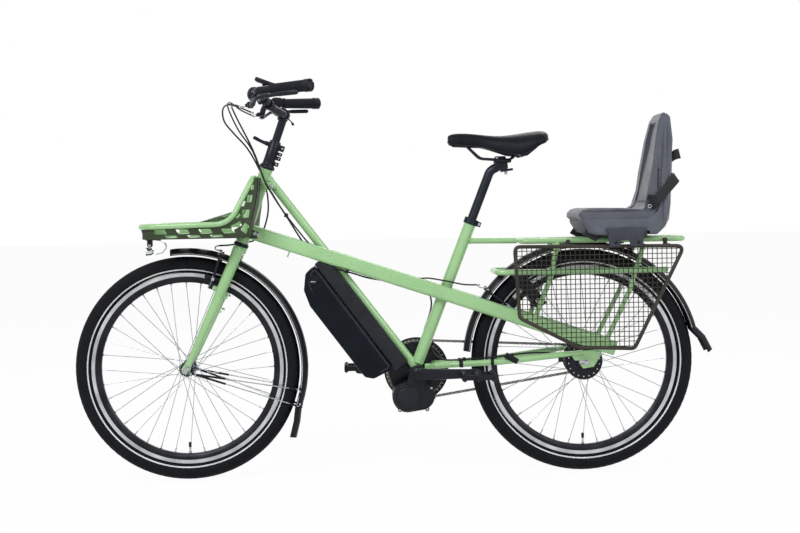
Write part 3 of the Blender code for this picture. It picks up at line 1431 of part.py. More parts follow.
twist_shifter(shifter_body)
bell(cockpit)
display(cockpit)
seatpost(post_body)
saddle_rails(saddle_body)
saddle_cushion(saddle_body)
child_seat_mount()
child_seat_shell()
child_seat_harness()
ring_lock()
headlamp(lamp_body)
gear_cable()
rear_brake_cable()
front_brake_cable()
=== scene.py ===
import bpy
import bmesh
import json
from math import atan2, cos, pi, radians, sin, sqrt
from mathutils import Matrix, Vector


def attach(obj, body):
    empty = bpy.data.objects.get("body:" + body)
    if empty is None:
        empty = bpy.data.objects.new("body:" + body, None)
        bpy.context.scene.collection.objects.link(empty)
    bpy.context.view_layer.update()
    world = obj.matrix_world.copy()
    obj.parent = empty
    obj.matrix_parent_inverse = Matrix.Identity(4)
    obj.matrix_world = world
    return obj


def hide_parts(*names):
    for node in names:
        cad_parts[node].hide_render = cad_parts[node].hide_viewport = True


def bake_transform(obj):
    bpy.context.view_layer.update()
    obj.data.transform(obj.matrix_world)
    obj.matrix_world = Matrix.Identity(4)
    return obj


print("loading the frame")
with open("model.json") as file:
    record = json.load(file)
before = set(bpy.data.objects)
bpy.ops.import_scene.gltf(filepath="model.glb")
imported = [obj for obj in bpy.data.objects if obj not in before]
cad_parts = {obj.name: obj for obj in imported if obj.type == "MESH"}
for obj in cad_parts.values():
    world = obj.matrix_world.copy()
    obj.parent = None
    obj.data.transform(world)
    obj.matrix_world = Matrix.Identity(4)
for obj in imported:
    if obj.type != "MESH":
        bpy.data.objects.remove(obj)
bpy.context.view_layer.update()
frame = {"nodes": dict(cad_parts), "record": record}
scene = bpy.context.scene

mm = 0.001  # the pieces are drawn in mm
zero = Vector((0, 0, 0))
rearward = Vector((1, 0, 0))
across = Vector((0, 1, 0))
upward = Vector((0, 0, 1))
bothSides = ((-1, "left"), (1, "right"))


def spot(x, y=0.0, z=0.0):
    return Vector((x, y, z)) * mm


def spots(points):
    return [spot(*p) for p in points]


def flatSpots(points):
    return [spot(x, z, 0) for x, z in points]


def slope(angle):
    return Vector((cos(radians(angle)), 0, sin(radians(angle))))


def squareTo(run):
    return Vector((run.z, 0, -run.x))


# Measures of the bike, in metres: X to the rear, Y to the right-hand side, Z up
bike = {
    "rearAxle": Vector((0.554, 0, 0.330)),
    "frontAxle": Vector((-0.615, 0, 0.330)),
    "crankAxle": Vector((0.062, 0, 0.305)),
    "headFoot": Vector((-0.4475, 0, 0.698)),
    "headAngle": 70.3,
    "headLength": 0.228,
    "seatAngle": 68.3,
    "seatTubeLength": 0.467,
    "barClamp": Vector((-0.315, 0, 1.070)),
    "saddlePivot": Vector((0.319, 0, 0.912)),
}
rearAxle, frontAxle, crankAxle = bike["rearAxle"], bike["frontAxle"], bike["crankAxle"]
headFoot, barClamp, saddlePivot = bike["headFoot"], bike["barClamp"], bike["saddlePivot"]
steerUp, seatUp = slope(bike["headAngle"]), slope(bike["seatAngle"])
steerFront = Vector((-steerUp.z, 0, steerUp.x))
seatRear = squareTo(seatUp)
seatFoot = crankAxle + Vector((-3 * mm, 0, 13 * mm))
seatTop = seatFoot + seatUp * bike["seatTubeLength"]


def onSteerer(along, front=0.0, side=0.0):
    return headFoot + steerUp * along * mm + steerFront * front * mm + across * side * mm


def onSideTube(x, side, out=0.0, lift=0.0):
    y = 0.030
    if x > 0.144:
        y += 0.1065 * (x - 0.144)
    if x < -0.300:
        y += 0.030 * (x + 0.300)
    return Vector((x, side * (y + out * mm), 0.581 - 0.340 * (x - 0.016) + lift * mm))


# Colours and nodes
def toLinear(hexColour):
    parts = [int(hexColour[i:i + 2], 16) / 255 for i in (1, 3, 5)]
    return [v / 12.92 if v <= 0.04045 else ((v + 0.055) / 1.055) ** 2.4 for v in parts] + [1.0]


def addNode(tree, kind, inputs=None, **settings):
    node = tree.nodes.new("ShaderNode" + kind)
    for key, value in settings.items():
        setattr(node, key, value)
    for key, value in (inputs or {}).items():
        if isinstance(value, bpy.types.NodeSocket):
            tree.links.new(value, node.inputs[key])
        else:
            node.inputs[key].default_value = value
    return node


def noise(tree, place, scale, detail, distortion=0.0):
    values = {"Vector": place, "Scale": scale, "Detail": detail, "Distortion": distortion}
    return addNode(tree, "TexNoise", values).outputs["Fac"]


def maths(tree, operation, *values):
    return addNode(tree, "Math", dict(enumerate(values)), operation=operation).outputs[0]


def newSurface(name, **values):
    material = bpy.data.materials.new(name)
    material.use_nodes = True
    tree = material.node_tree
    shader = tree.nodes["Principled BSDF"]
    for key, value in values.items():
        shader.inputs[key.replace("_", " ")].default_value = value
    return material, tree, shader, addNode(tree, "TexCoord").outputs["Object"]


def twoTone(tree, shader, place, dark, light, scale, detail=3.0):
    cloud = noise(tree, place, scale, detail)
    ramp = addNode(tree, "ValToRGB", {"Fac": cloud})
    for stop, colour, position in zip(ramp.color_ramp.elements, (dark, light), (0.32, 0.68)):
        stop.color, stop.position = toLinear(colour), position
    tree.links.new(ramp.outputs["Color"], shader.inputs["Base Color"])
    return cloud


def uneven(tree, shader, source, low, high):
    span = addNode(tree, "MapRange", {"Value": source, "To Min": low, "To Max": high})
    tree.links.new(span.outputs["Result"], shader.inputs["Roughness"])


def relief(tree, shader, height, distance, strength):
    bump = addNode(tree, "Bump", {"Height": height, "Distance": distance, "Strength": strength})
    tree.links.new(bump.outputs["Normal"], shader.inputs["Normal"])


# Powder-coated steel tube: a thick gloss skin with a faint orange peel about 1.5 mm across
def powderCoat(name, dark, light):
    material, tree, shader, place = newSurface(name, Coat_Weight=0.55, Coat_Roughness=0.1, IOR=1.5)
    twoTone(tree, shader, place, dark, light, 7.0)
    uneven(tree, shader, noise(tree, place, 30.0, 4.0), 0.24, 0.38)
    relief(tree, shader, noise(tree, place, 650.0, 2.0), 0.00012, 0.35)
    return material


# Moulded ABS or polypropylene: satin, with a spark-eroded grain near 0.6 mm
def mouldedPlastic(name, dark, light, low, high, grain=1400.0, depth=0.00008, gloss=0.24):
    material, tree, shader, place = newSurface(name, IOR=1.46, Specular_IOR_Level=gloss)
    twoTone(tree, shader, place, dark, light, 14.0)
    uneven(tree, shader, noise(tree, place, 45.0, 5.0), low, high)
    relief(tree, shader, noise(tree, place, grain, 2.0), depth, 0.6)
    return material


# Black anodised aluminium: metal under a dark dyed skin, with drawing lines about 0.8 mm apart
def anodisedAluminium(name, dark, light, roughness, stretch=(60.0, 900.0, 60.0)):
    material, tree, shader, place = newSurface(name, Metallic=0.85)
    scaled = addNode(tree, "Mapping", {"Vector": place, "Scale": stretch})
    lines = noise(tree, scaled.outputs["Vector"], 1.0, 3.0)
    twoTone(tree, shader, place, dark, light, 18.0)
    uneven(tree, shader, lines, roughness - 0.07, roughness + 0.1)
    relief(tree, shader, lines, 0.00004, 0.4)
    return material


# Plated steel: bright, with fine scratches and slightly duller patches
def platedSteel(name, dark, light, low, high):
    material, tree, shader, place = newSurface(name, Metallic=1.0)
    twoTone(tree, shader, place, dark, light, 120.0)
    scuff = noise(tree, place, 420.0, 6.0, 0.6)
    uneven(tree, shader, scuff, low, high)
    relief(tree, shader, scuff, 0.00003, 0.3)
    return material


# Machined brake track: rings left by the lathe, drawn 1.2 mm apart so that they show
def machinedRing(name, dark, light):
    material, tree, shader, place = newSurface(name, Metallic=1.0)
    parts = addNode(tree, "SeparateXYZ", {"Vector": place}).outputs
    flat = addNode(tree, "CombineXYZ", {"X": parts["X"], "Z": parts["Z"]})
    reach = addNode(tree, "VectorMath", {0: flat.outputs["Vector"]}, operation="LENGTH")
    ridge = maths(tree, "SINE", maths(tree, "MULTIPLY", reach.outputs["Value"], 2 * pi / 0.0012))
    twoTone(tree, shader, place, dark, light, 16.0)
    uneven(tree, shader, ridge, 0.24, 0.36)
    relief(tree, shader, ridge, 0.00003, 0.35)
    return material


# Tyre rubber: carbon black, dull, with fine casing threads in the side wall about 1.5 mm apart
def tyreRubber(name, dark, light):
    material, tree, shader, place = newSurface(name, IOR=1.48, Specular_IOR_Level=0.14)
    parts = addNode(tree, "SeparateXYZ", {"Vector": place}).outputs
    turn = maths(tree, "MULTIPLY", maths(tree, "ARCTAN2", parts["Z"], parts["X"]), 1250.0)
    scuff = twoTone(tree, shader, place, dark, light, 60.0, 6.0)
    grit = noise(tree, place, 900.0, 3.0)
    uneven(tree, shader, scuff, 0.62, 0.85)
    relief(tree, shader, maths(tree, "MULTIPLY_ADD", maths(tree, "SINE", turn), 0.25, grit), 0.00012, 0.5)
    return material


# Saddle vinyl and foam skins: a pebbled grain from cells about 1.3 mm across
def grainedSkin(name, dark, light, low, high, cells=760.0, depth=0.00022):
    material, tree, shader, place = newSurface(name, IOR=1.48, Specular_IOR_Level=0.13)
    pebbles = addNode(tree, "TexVoronoi", {"Vector": place, "Scale": cells})
    uneven(tree, shader, twoTone(tree, shader, place, dark, light, 26.0), low, high)
    relief(tree, shader, pebbles.outputs["Distance"], depth, 0.5)
    return material


# Woven nylon webbing: ribs across the strap every 1.6 mm, with a soft sheen
def wovenWebbing(name, dark, light):
    material, tree, shader, place = newSurface(name, Roughness=0.82, Sheen_Weight=0.35, Sheen_Roughness=0.4)
    ribs = addNode(tree, "TexWave", {"Vector": place, "Scale": 200.0, "Distortion": 0.6},
                   bands_direction="DIAGONAL")
    tone = addNode(tree, "Mix", {"Factor": ribs.outputs["Fac"]}, data_type="RGBA")
    tone.inputs[6].default_value = toLinear(dark)
    tone.inputs[7].default_value = toLinear(light)
    tree.links.new(tone.outputs[2], shader.inputs["Base Color"])
    fuzz = maths(tree, "MULTIPLY_ADD", noise(tree, place, 1800.0, 3.0), 0.3, ribs.outputs["Fac"])
    relief(tree, shader, fuzz, 0.0003, 0.6)
    return material


# Clear acrylic lens with moulded flutes
def clearLens(name, colour):
    material, tree, shader, place = newSurface(name, Roughness=0.05, IOR=1.49, Transmission_Weight=0.9)
    shader.inputs["Base Color"].default_value = toLinear(colour)
    flutes = addNode(tree, "TexWave", {"Vector": place, "Scale": 220.0}, bands_direction="Y")
    relief(tree, shader, flutes.outputs["Fac"], 0.0004, 0.6)
    return material


print("materials")
greenPaint = powderCoat("greenPowderCoatedSteel", "#8AB67C", "#97C28A")
# Dark olive for the tray's outer walls, floor underside, lip and tails: a darker sheet colour together with
# painted shade where the tray lies in shadow
oliveSheetAndPaintedShade = mouldedPlastic("oliveSheetWithPaintedShade", "#2B3424", "#35402D", 0.5, 0.66, 900.0, 0.0001)
blackPaint = mouldedPlastic("satinBlackPaintedAlloy", "#0D1018", "#171B25", 0.22, 0.36, 1900.0, 0.00003)
guardPlastic = mouldedPlastic("mouldedPolycarbonateGuard", "#0A0C12", "#12151D", 0.28, 0.42)
blackPlastic = mouldedPlastic("mouldedBlackNylon", "#0C0D12", "#15171D", 0.42, 0.6)
batteryPlastic = mouldedPlastic("glossAbsBatteryShell", "#070A12", "#0D121C", 0.18, 0.32, 1600.0, 0.00003,
                                gloss=0.14)
railPlastic = mouldedPlastic("extrudedBlackBatteryRail", "#16181D", "#202329", 0.42, 0.55)
motorAlloy = mouldedPlastic("dieCastBlackMotorHousing", "#101218", "#1A1D24", 0.34, 0.52, 800.0, 0.00016)
# Pale glass-bead tape for the tyre's reflective stripe; the same pale colour makes the painted highlight
# along the mudguard edges
reflectiveTapeAndEdgeHighlight = mouldedPlastic("reflectiveTapeAndPaintedEdgeHighlight", "#C4C7C9", "#DCDEDF", 0.30, 0.45, 2400.0, 0.00006)
cableSkin = mouldedPlastic("extrudedPvcCableHousing", "#0E0F13", "#17191E", 0.32, 0.45, 1500.0, 0.00003)
seatPlastic = mouldedPlastic("grainedGreySeatShell", "#4D5059", "#575B65", 0.46, 0.62, 1000.0, 0.00014)
seatBack = mouldedPlastic("grainedLightGreySeatBack", "#8D8F93", "#9B9DA1", 0.50, 0.66, 1000.0, 0.00014)
wireCoat = mouldedPlastic("dippedBrownBlackWire", "#2E2A26", "#3B3630", 0.38, 0.55, 1300.0, 0.00005)
# Charcoal grained plastic for the child-seat mount; the same lighter colour makes the painted highlight
# along the battery face's upper edge
charcoalMountAndSeamHighlight = mouldedPlastic("grainedCharcoalMountAndSeamHighlight", "#34373F", "#40434C", 0.48, 0.64, 800.0, 0.00018)
blackAlloy = anodisedAluminium("blackAnodisedAluminium", "#1E2127", "#2A2E37", 0.30)
rimAlloy = anodisedAluminium("blackAnodisedRim", "#1C1D21", "#2A2C31", 0.38)
polishedAlloy = anodisedAluminium("brushedSilverAluminium", "#A9ABAE", "#C4C6C8", 0.32)
brakeTrack = machinedRing("machinedAluminiumBrakeTrack", "#A8AAAD", "#CDCFD1")
spokeSteel = platedSteel("drawnStainlessSpoke", "#8E9195", "#B5B8BB", 0.22, 0.36)
boltSteel = platedSteel("zincPlatedSteel", "#9A9DA1", "#C5C8CB", 0.22, 0.40)
chrome = platedSteel("chromedBrassLamp", "#C9CCCF", "#E6E8EA", 0.06, 0.18)
chainSteel = platedSteel("oiledChainSteel", "#4D4A46", "#7C7974", 0.30, 0.50)
rollerSteel = platedSteel("polishedChainRoller", "#A8A6A2", "#CFCDC9", 0.20, 0.34)
rubber = tyreRubber("blackTyreRubber", "#0B0C10", "#14161B")
saddleVinyl = grainedSkin("grainedSaddleVinyl", "#070911", "#0E111B", 0.40, 0.54, 760.0, 0.00012)
gripRubber = grainedSkin("softGripRubber", "#15161C", "#1F2028", 0.60, 0.78, 620.0, 0.0003)
seatFoam = grainedSkin("mouldedGreyFoamPad", "#84868A", "#94969A", 0.66, 0.82, 900.0, 0.0003)
webbing = wovenWebbing("wovenBlackNylonWebbing", "#08090D", "#15171C")
lens = clearLens("clearAcrylicLens", "#F2F5F6")


# Outlines and paths
def circle(radius, sides):
    return [(radius * cos(2 * pi * i / sides), radius * sin(2 * pi * i / sides)) for i in range(sides)]


def flatOval(width, height, steps):
    radius = width / 2
    points = []
    for end in (1, -1):
        for i in range(steps + 1):
            angle = pi * i / steps + (0 if end > 0 else pi)
            points.append((radius * cos(angle), end * (height / 2 - radius) + radius * sin(angle)))
    return points


def softRectangle(width, height, radius, steps=3):
    points = []
    for cx, cy, start in ((1, 1, 0), (-1, 1, 90), (-1, -1, 180), (1, -1, 270)):
        for i in range(steps + 1):
            angle = radians(start + 90 * i / steps)
            x, y = cx * (width / 2 - radius), cy * (height / 2 - radius)
            points.append((x + radius * cos(angle), y + radius * sin(angle)))
    return points


def rounded(points, radius, steps=6, closed=False):
    result = []
    for i, corner in enumerate(points):
        corner = Vector(corner)
        if not closed and i in (0, len(points) - 1):
            result.append(corner)
            continue
        before = Vector(points[i - 1]) - corner
        after = Vector(points[(i + 1) % len(points)]) - corner
        half = before.angle(after) / 2
        reach = min(radius / max(sin(half), 0.05) * cos(half), before.length * 0.49, after.length * 0.49)
        start = corner + before.normalized() * reach
        end = corner + after.normalized() * reach
        for k in range(steps + 1):
            t = k / steps
            result.append(start * (1 - t) ** 2 + corner * 2 * t * (1 - t) + end * t * t)
    return result


def smooth(points, perSpan=6):
    knots = [Vector(p) for p in points]
    knots = [2 * knots[0] - knots[1]] + knots + [2 * knots[-1] - knots[-2]]
    result = []
    for i in range(1, len(knots) - 2):
        a, b, c, d = knots[i - 1:i + 3]
        for k in range(perSpan):
            t = k / perSpan
            result.append(0.5 * (2 * b + (c - a) * t + (2 * a - 5 * b + 4 * c - d) * t ** 2
                                 + (3 * b - a - 3 * c + d) * t ** 3))
    return result + [knots[-2]]


def capsule(start, end, firstRadius, lastRadius, steps=14):
    heading = atan2(end[1] - start[1], end[0] - start[0])
    points = []
    for centre, radius, offset in ((start, firstRadius, pi / 2), (end, lastRadius, -pi / 2)):
        for i in range(steps + 1):
            angle = heading + offset + pi * i / steps
            points.append((centre[0] + radius * cos(angle), centre[1] + radius * sin(angle)))
    return points


def through(point, half, axis=across):
    return [point - axis * half * mm, point + axis * half * mm]


def roundWheel(hub, angle, radius, side=0.0):
    return hub + Vector((radius * cos(radians(angle)), side, radius * sin(radians(angle))))


def mirrored(point):
    return Vector((point.x, -point.y, point.z))


def pathLength(points):
    return sum((b - a).length for a, b in zip(points, points[1:]))


def twoHalves(half):
    return half + [(-a, r) for a, r in reversed(half)]


# Meshes: each call adds to one bmesh and can be given another to add to
def blank(count):
    return [bmesh.new() for i in range(count)]


def loft(bm, rings, closed=False):
    rows = [[bm.verts.new(p) for p in ring] for ring in rings]
    for low, high in list(zip(rows, rows[1:])) + ([(rows[-1], rows[0])] if closed else []):
        for i in range(len(low)):
            j = (i + 1) % len(low)
            bm.faces.new((low[i], low[j], high[j], high[i]))
    if not closed:
        bm.faces.new(rows[0][::-1])
        bm.faces.new(rows[-1])
    return bm


def sweep(points, section, side=None, closed=False, scale=None, bm=None):
    bm = bm or bmesh.new()
    path = [Vector(p) for p in points]
    rings, turned = [], side
    for i, point in enumerate(path):
        ahead = path[(i + 1) % len(path)] if closed or i < len(path) - 1 else point
        behind = path[i - 1] if closed or i > 0 else point
        tangent = (ahead - behind).normalized()
        turned = turned or tangent.orthogonal()
        base = side or turned
        turned = (base - tangent * base.dot(tangent)).normalized()
        normal = tangent.cross(turned)
        grow = scale[i] if scale else 1.0
        rings.append([point + (turned * a + normal * b) * grow for a, b in section])
    return loft(bm, rings, closed)


def tube(points, radius, sides=24, bm=None, closed=False, scale=None, side=None):
    return sweep(points, circle(radius * mm, sides), side, closed, scale, bm)


def revolve(profile, at, axis=across, steps=32, ring=False, bm=None):
    bm = bm or bmesh.new()
    axis = axis.normalized()
    first = axis.orthogonal().normalized() if abs(axis.y) < 0.99 else rearward
    second = axis.cross(first)
    rows = []
    for along, radius in profile:
        centre = at + axis * along * mm
        spread = [(first * cos(2 * pi * i / steps) + second * sin(2 * pi * i / steps)) * radius * mm
                  for i in range(steps)]
        rows.append([bm.verts.new(centre)] if radius < 1e-5 else [bm.verts.new(centre + s) for s in spread])
    for low, high in list(zip(rows, rows[1:])) + ([(rows[-1], rows[0])] if ring else []):
        for i in range(steps):
            j = (i + 1) % steps
            if len(low) == 1:
                bm.faces.new((low[0], high[j], high[i]))
            elif len(high) == 1:
                bm.faces.new((low[i], low[j], high[0]))
            else:
                bm.faces.new((low[i], low[j], high[j], high[i]))
    return bm


def pipe(start, end, outer, inner, steps=32, bm=None):
    run = (end - start).length / mm
    edge = min(0.8, (outer - inner) / 3)
    profile = [(edge, inner), (0, inner + edge), (0, outer - edge), (edge, outer), (run - edge, outer),
               (run, outer - edge), (run, inner + edge), (run - edge, inner)]
    return revolve(profile, start, end - start, steps, True, bm)


def peg(start, end, radius, edge=0.8, steps=20, bm=None):
    run = (end - start).length / mm
    profile = [(0, 0), (0, radius - edge), (edge, radius), (run - edge, radius), (run, radius - edge),
               (run, 0)]
    return revolve(profile, start, end - start, steps, False, bm)


def plate(outline, low, high, bevel=0.0, bm=None, segments=2):
    part = bmesh.new()
    loft(part, [[Vector((x, y, z)) for x, z in outline] for y in (low, high)])
    return soften(part, bevel, segments, into=bm)


def soften(part, width, segments=2, angle=30, into=None):
    bmesh.ops.recalc_face_normals(part, faces=part.faces)
    if width > 0:
        sharp = [e for e in part.edges if len(e.link_faces) == 2 and e.calc_face_angle(0) > radians(angle)]
        bmesh.ops.bevel(part, geom=sharp, offset=width, offset_type="WIDTH", segments=segments,
                        affect="EDGES", profile=0.5, clamp_overlap=True)
    if into is None:
        return part
    addTo(into, part)
    return into


def addTo(whole, part):
    kept = bpy.data.meshes.new("kept")
    part.to_mesh(kept)
    part.free()
    whole.from_mesh(kept)
    bpy.data.meshes.remove(kept)


def sidePlate(outline, near, far, corner, bevel=0.0, bm=None, steps=4, segments=2):
    shape = rounded(outline, corner * mm, steps, True)
    low, high = sorted((near * mm, far * mm))
    return plate([(p.x, p.y) for p in shape], low, high, bevel * mm, bm, segments)


def block(size, at, bevel=0.6, bm=None, along=rearward, side=across):
    along = along.normalized()
    side = (side - along * side.dot(along)).normalized()
    up = along.cross(side)
    length, width, height = (s * mm / 2 for s in size)
    corners = ((-width, -height), (width, -height), (width, height), (-width, height))
    rings = [[at + along * end * length + side * a + up * b for a, b in corners] for end in (-1, 1)]
    return soften(loft(bmesh.new(), rings), bevel * mm, 2, into=bm)


def bolt(at, out, radius=4.0, height=4.0, bm=None):
    profile = [(0, 0), (0, radius), (height * 0.75, radius), (height, radius - 0.8), (height, radius * 0.5),
               (height * 0.4, radius * 0.45), (height * 0.4, 0)]
    return revolve(profile, at, out, 18, False, bm)


# A finished piece: parts are meshes followed by their material, joined into one object on its body
def makePiece(name, body, nodes, parts, origin=zero, angle=32, subdivide=0):
    whole, materials = bmesh.new(), []
    for *meshes, material in parts:
        several = material if isinstance(material, list) else [material]
        for part in meshes:
            bmesh.ops.recalc_face_normals(part, faces=part.faces)
            for face in part.faces:
                chosen = several[min(face.material_index, len(several) - 1)]
                if chosen not in materials:
                    materials.append(chosen)
                face.material_index = materials.index(chosen)
            addTo(whole, part)
    mesh = bpy.data.meshes.new(name)
    whole.to_mesh(mesh)
    whole.free()
    for material in materials:
        mesh.materials.append(material)
    mesh.transform(Matrix.Translation(-origin))
    mesh.shade_smooth()
    mesh.set_sharp_from_angle(angle=radians(angle))
    piece = bpy.data.objects.new(name, mesh)
    piece.location = origin
    scene.collection.objects.link(piece)
    if subdivide:
        modifier = piece.modifiers.new("subdivision", "SUBSURF")
        modifier.levels = modifier.render_levels = subdivide
    if isinstance(body, tuple):
        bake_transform(piece)
    else:
        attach(piece, body)
    if nodes:
        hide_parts(*nodes)
    return piece


# Cuts one closed body by others, before it is joined to its neighbours
def carve(part, *cutters):
    shapes = []
    for bm in (part,) + cutters:
        bmesh.ops.triangulate(bm, faces=bm.faces)
        bmesh.ops.recalc_face_normals(bm, faces=bm.faces)
        mesh = bpy.data.meshes.new("shape")
        bm.to_mesh(mesh)
        bm.free()
        shapes.append(bpy.data.objects.new("shape", mesh))
        scene.collection.objects.link(shapes[-1])
    for cutter in shapes[1:]:
        modifier = shapes[0].modifiers.new("cut", "BOOLEAN")
        modifier.operation, modifier.solver, modifier.object = "DIFFERENCE", "MANIFOLD", cutter
    bpy.context.view_layer.update()
    made = bpy.data.meshes.new_from_object(shapes[0].evaluated_get(bpy.context.evaluated_depsgraph_get()))
    result = bmesh.new()
    result.from_mesh(made)
    for mesh in [shape.data for shape in shapes] + [made]:
        bpy.data.meshes.remove(mesh)
    return result


# Camera
print("camera")
cameraLook = {
    "lens": 60.84,
    "right": (0.99938, -0.02962, -0.01883),
    "up": (0.02011, 0.04340, 0.99886),
    "back": (-0.02877, -0.99862, 0.04397),
    "place": (-0.098, -4.0, 0.794),
}
cameraData = bpy.data.cameras.new("camera")
cameraData.sensor_width, cameraData.lens = 36.0, cameraLook["lens"]
camera = bpy.data.objects.new("camera", cameraData)
scene.collection.objects.link(camera)
columns = [cameraLook[key] for key in ("right", "up", "back", "place")]
camera.matrix_world = Matrix(list(zip(*columns)) + [(0, 0, 0, 1)])
scene.camera = camera


# Cables: each follows the route of its solid
print("cables")
gearRoute = [
    (-420, 160, 1090), (-470, 70, 1106), (-460, 10, 1075), (-407, -26, 968), (-375, -31, 879),
    (-352, -33, 838), (-332, -31, 803), (-306, -22, 760), (-281, -12, 717), (-260, -8, 684),
    (-240, -10, 661), (-219, -15.5, 645), (-199, -19, 633.5), (-183, -31, 621.5), (-160, -39, 613.5),
    (-118, -37, 601), (-84, -24, 589), (-45, -6, 580), (10, 2, 571), (60, 4, 560), (96, 6, 544),
    (108, 14, 519), (108, 25, 490), (98, 27, 455), (86, 27, 420), (92, 24, 396), (104, 10, 373),
    (114, -8, 358), (130, -24, 346), (160, -31, 340), (283, -51, 348), (400, -64, 360), (520, -60, 354),
]
rearBrakeRoute = [
    (-420, 196, 1082), (-455, 150, 1098), (-480, 90, 1116), (-482, 25, 1098), (-450, -22, 1030),
    (-408, -34, 966), (-375, -39, 878), (-352, -41, 836), (-334, -40, 806), (-308, -33, 768),
    (-280, -24, 730), (-256, -16.2, 699), (-232, -16, 675), (-200, -16.2, 656), (-160, -16.2, 642),
    (-72, -8, 618), (60, -6, 584), (100, -24, 583), (150, -27, 574), (205, -24, 562), (250, -20, 560),
]
frontBrakeRoute = [
    (-421, -196, 1082), (-462, -150, 1092), (-486, -85, 1084), (-488, -28, 1052), (-464, 20, 1018),
    (-428, 43, 975), (-396, 47, 915), (-377, 47, 860), (-371, 46, 815), (-374, 46, 775), (-388, 46, 732),
    (-412, 46, 704), (-450, 49, 696), (-490, 52, 690), (-520, 48, 689),
]
cableLook = {  # route, radius, the bodies that it joins, and where its bend starts and ends
    "gear_cable": (gearRoute, 2.5, "frame", "steering", (-310, -24, 765), (-440, -10, 1035)),
    "rear_brake_cable": (rearBrakeRoute, 2.3, "frame", "steering", (-310, -33, 770), (-440, -20, 1035)),
    "front_brake_cable": (frontBrakeRoute, 2.5, "steering", "cockpit", (-396, 30, 915), (-480, -60, 1070)),
}
for node, (route, radius, lower, upper, start, end) in cableLook.items():
    points = smooth(spots(route), 4)
    bend = (lower, upper, spot(*start), spot(*end))
    cable = makePiece(node + "Housing", bend, [node],
                      [(tube(points, radius, 16), cableSkin)], angle=50)


# Wheels
print("wheels")
wheelLook = {
    "treadRepeats": 90,  # one lug every 23 mm round the tyre
    "grooveShare": 0.34,
    "grooveDepth": 1.6,
    "shoulderDepth": 0.8,
    "stripe": (290.2, 293.8),  # radii of the reflective line, mm
    "spokes": 36,
    "spokeRadius": 1.0,
    "brakeTrack": (271.5, 282.6),
    "valveLength": 33.0,
}


def makeTyre(name, hub, body):
    low, high = wheelLook["stripe"]
    half = [(10.6, 284.2), (14.5, 286.8), (18.0, 288.9), (19.6, low), (22.0, high), (23.3, 297.0),
            (24.3, 301.5), (24.6, 306.0), (24.2, 310.0), (23.0, 314.5), (21.2, 318.3), (18.8, 321.6),
            (15.8, 324.6), (12.2, 326.9), (8.2, 328.6), (4.2, 329.6), (1.4, 330.0)]
    profile = twoHalves(half) + [(-8.0, 286.5), (8.0, 286.5)]
    steps = wheelLook["treadRepeats"] * 6
    bm, rows = bmesh.new(), []
    for a, r in profile:
        row = []
        for i in range(steps):
            reach = r
            groove = (i / 6 + abs(a) * 0.05) % 1.0 < wheelLook["grooveShare"]
            if groove and r > 317 and abs(a) > 3:
                reach -= wheelLook["grooveDepth"]
            elif groove and r > 312 and abs(a) > 20:
                reach -= wheelLook["shoulderDepth"]
            angle = 2 * pi * i / steps
            place = Vector((reach * cos(angle) * mm, a * mm, reach * sin(angle) * mm))
            row.append(bm.verts.new(hub + place))
        rows.append(row)
    for k, row in enumerate(rows):
        after = (k + 1) % len(rows)
        striped = sorted((profile[k][1], profile[after][1])) == [low, high]
        for i in range(steps):
            j = (i + 1) % steps
            face = bm.faces.new((row[i], row[j], rows[after][j], rows[after][i]))
            face.material_index = 1 if striped else 0
    return makePiece(name, body, [name.replace("Tread", "_tyre")], [(bm, [rubber, reflectiveTapeAndEdgeHighlight])],
                     hub, 40)


def makeRim(name, hub, body):
    half = [(12.5, 283.3), (12.5, 283.0), (12.2, 271.2), (12.5, 270.6), (12.3, 266.5), (10.2, 259.0),
            (6.2, 254.0), (2.0, 253.6)]
    profile = twoHalves(half) + [(-9.6, 283.3), (-9.6, 279.0), (9.6, 279.0), (9.6, 283.3)]
    hoop = revolve(profile, hub, across, 180, True)
    tracks, nipples, base, rod, cap = blank(5)
    inner, outer = wheelLook["brakeTrack"]
    for side in (-1, 1):
        ring = [(side * 12.1, inner), (side * 12.65, inner + 0.4), (side * 12.65, outer - 0.4),
                (side * 12.1, outer)]
        revolve(ring, hub, across, 180, True, tracks)
    for i in range(wheelLook["spokes"]):
        side = 1 if i % 2 else -1
        foot = roundWheel(hub, 10 * i, 253.8 * mm, side * 2.6 * mm)
        peg(foot, foot + (hub - foot).normalized() * 2.2 * mm, 3.4, 0.5, 10, nipples)
    stem = hub - upward * 253.4 * mm
    peg(stem, stem + upward * 6 * mm, 4.4, 1.0, 16, base)
    peg(stem + upward * 4 * mm, stem + upward * (wheelLook["valveLength"] - 12) * mm, 2.9, 0.4, 14, rod)
    top = stem + upward * wheelLook["valveLength"] * mm
    peg(top - upward * 15 * mm, top, 4.2, 1.2, 14, cap)
    parts = [(hoop, rimAlloy), (tracks, brakeTrack), (nipples, base, rod, boltSteel), (cap, blackPlastic)]
    return makePiece(name, body, [name.replace("Hoop", "_rim")], parts, hub)


def makeSpokes(hub, flange, flangeRadius, twist):
    wires, heads, nipples = blank(3)
    for i in range(wheelLook["spokes"]):
        side = 1 if i % 2 else -1
        leading = 1 if (i // 2) % 2 else -1
        startAngle = 10 * i + leading * twist
        start = roundWheel(hub, startAngle, flangeRadius * mm, side * (flange + leading * 2.2) * mm)
        inside = roundWheel(hub, startAngle, flangeRadius * mm, side * (flange - leading * 2.6) * mm)
        end = roundWheel(hub, 10 * i, 251.8 * mm, side * 2.8 * mm)
        run = (end - start).normalized()
        tube([inside, start, start + run * 4 * mm, end], wheelLook["spokeRadius"], 6, wires)
        peg(inside - across * side * leading * 0.8 * mm, inside + across * side * leading * 0.4 * mm, 1.9,
            0.4, 8, heads)
        peg(end - run * 13 * mm, end, 2.0, 0.5, 8, nipples)
    return [(wires, heads, spokeSteel), (nipples, boltSteel)]


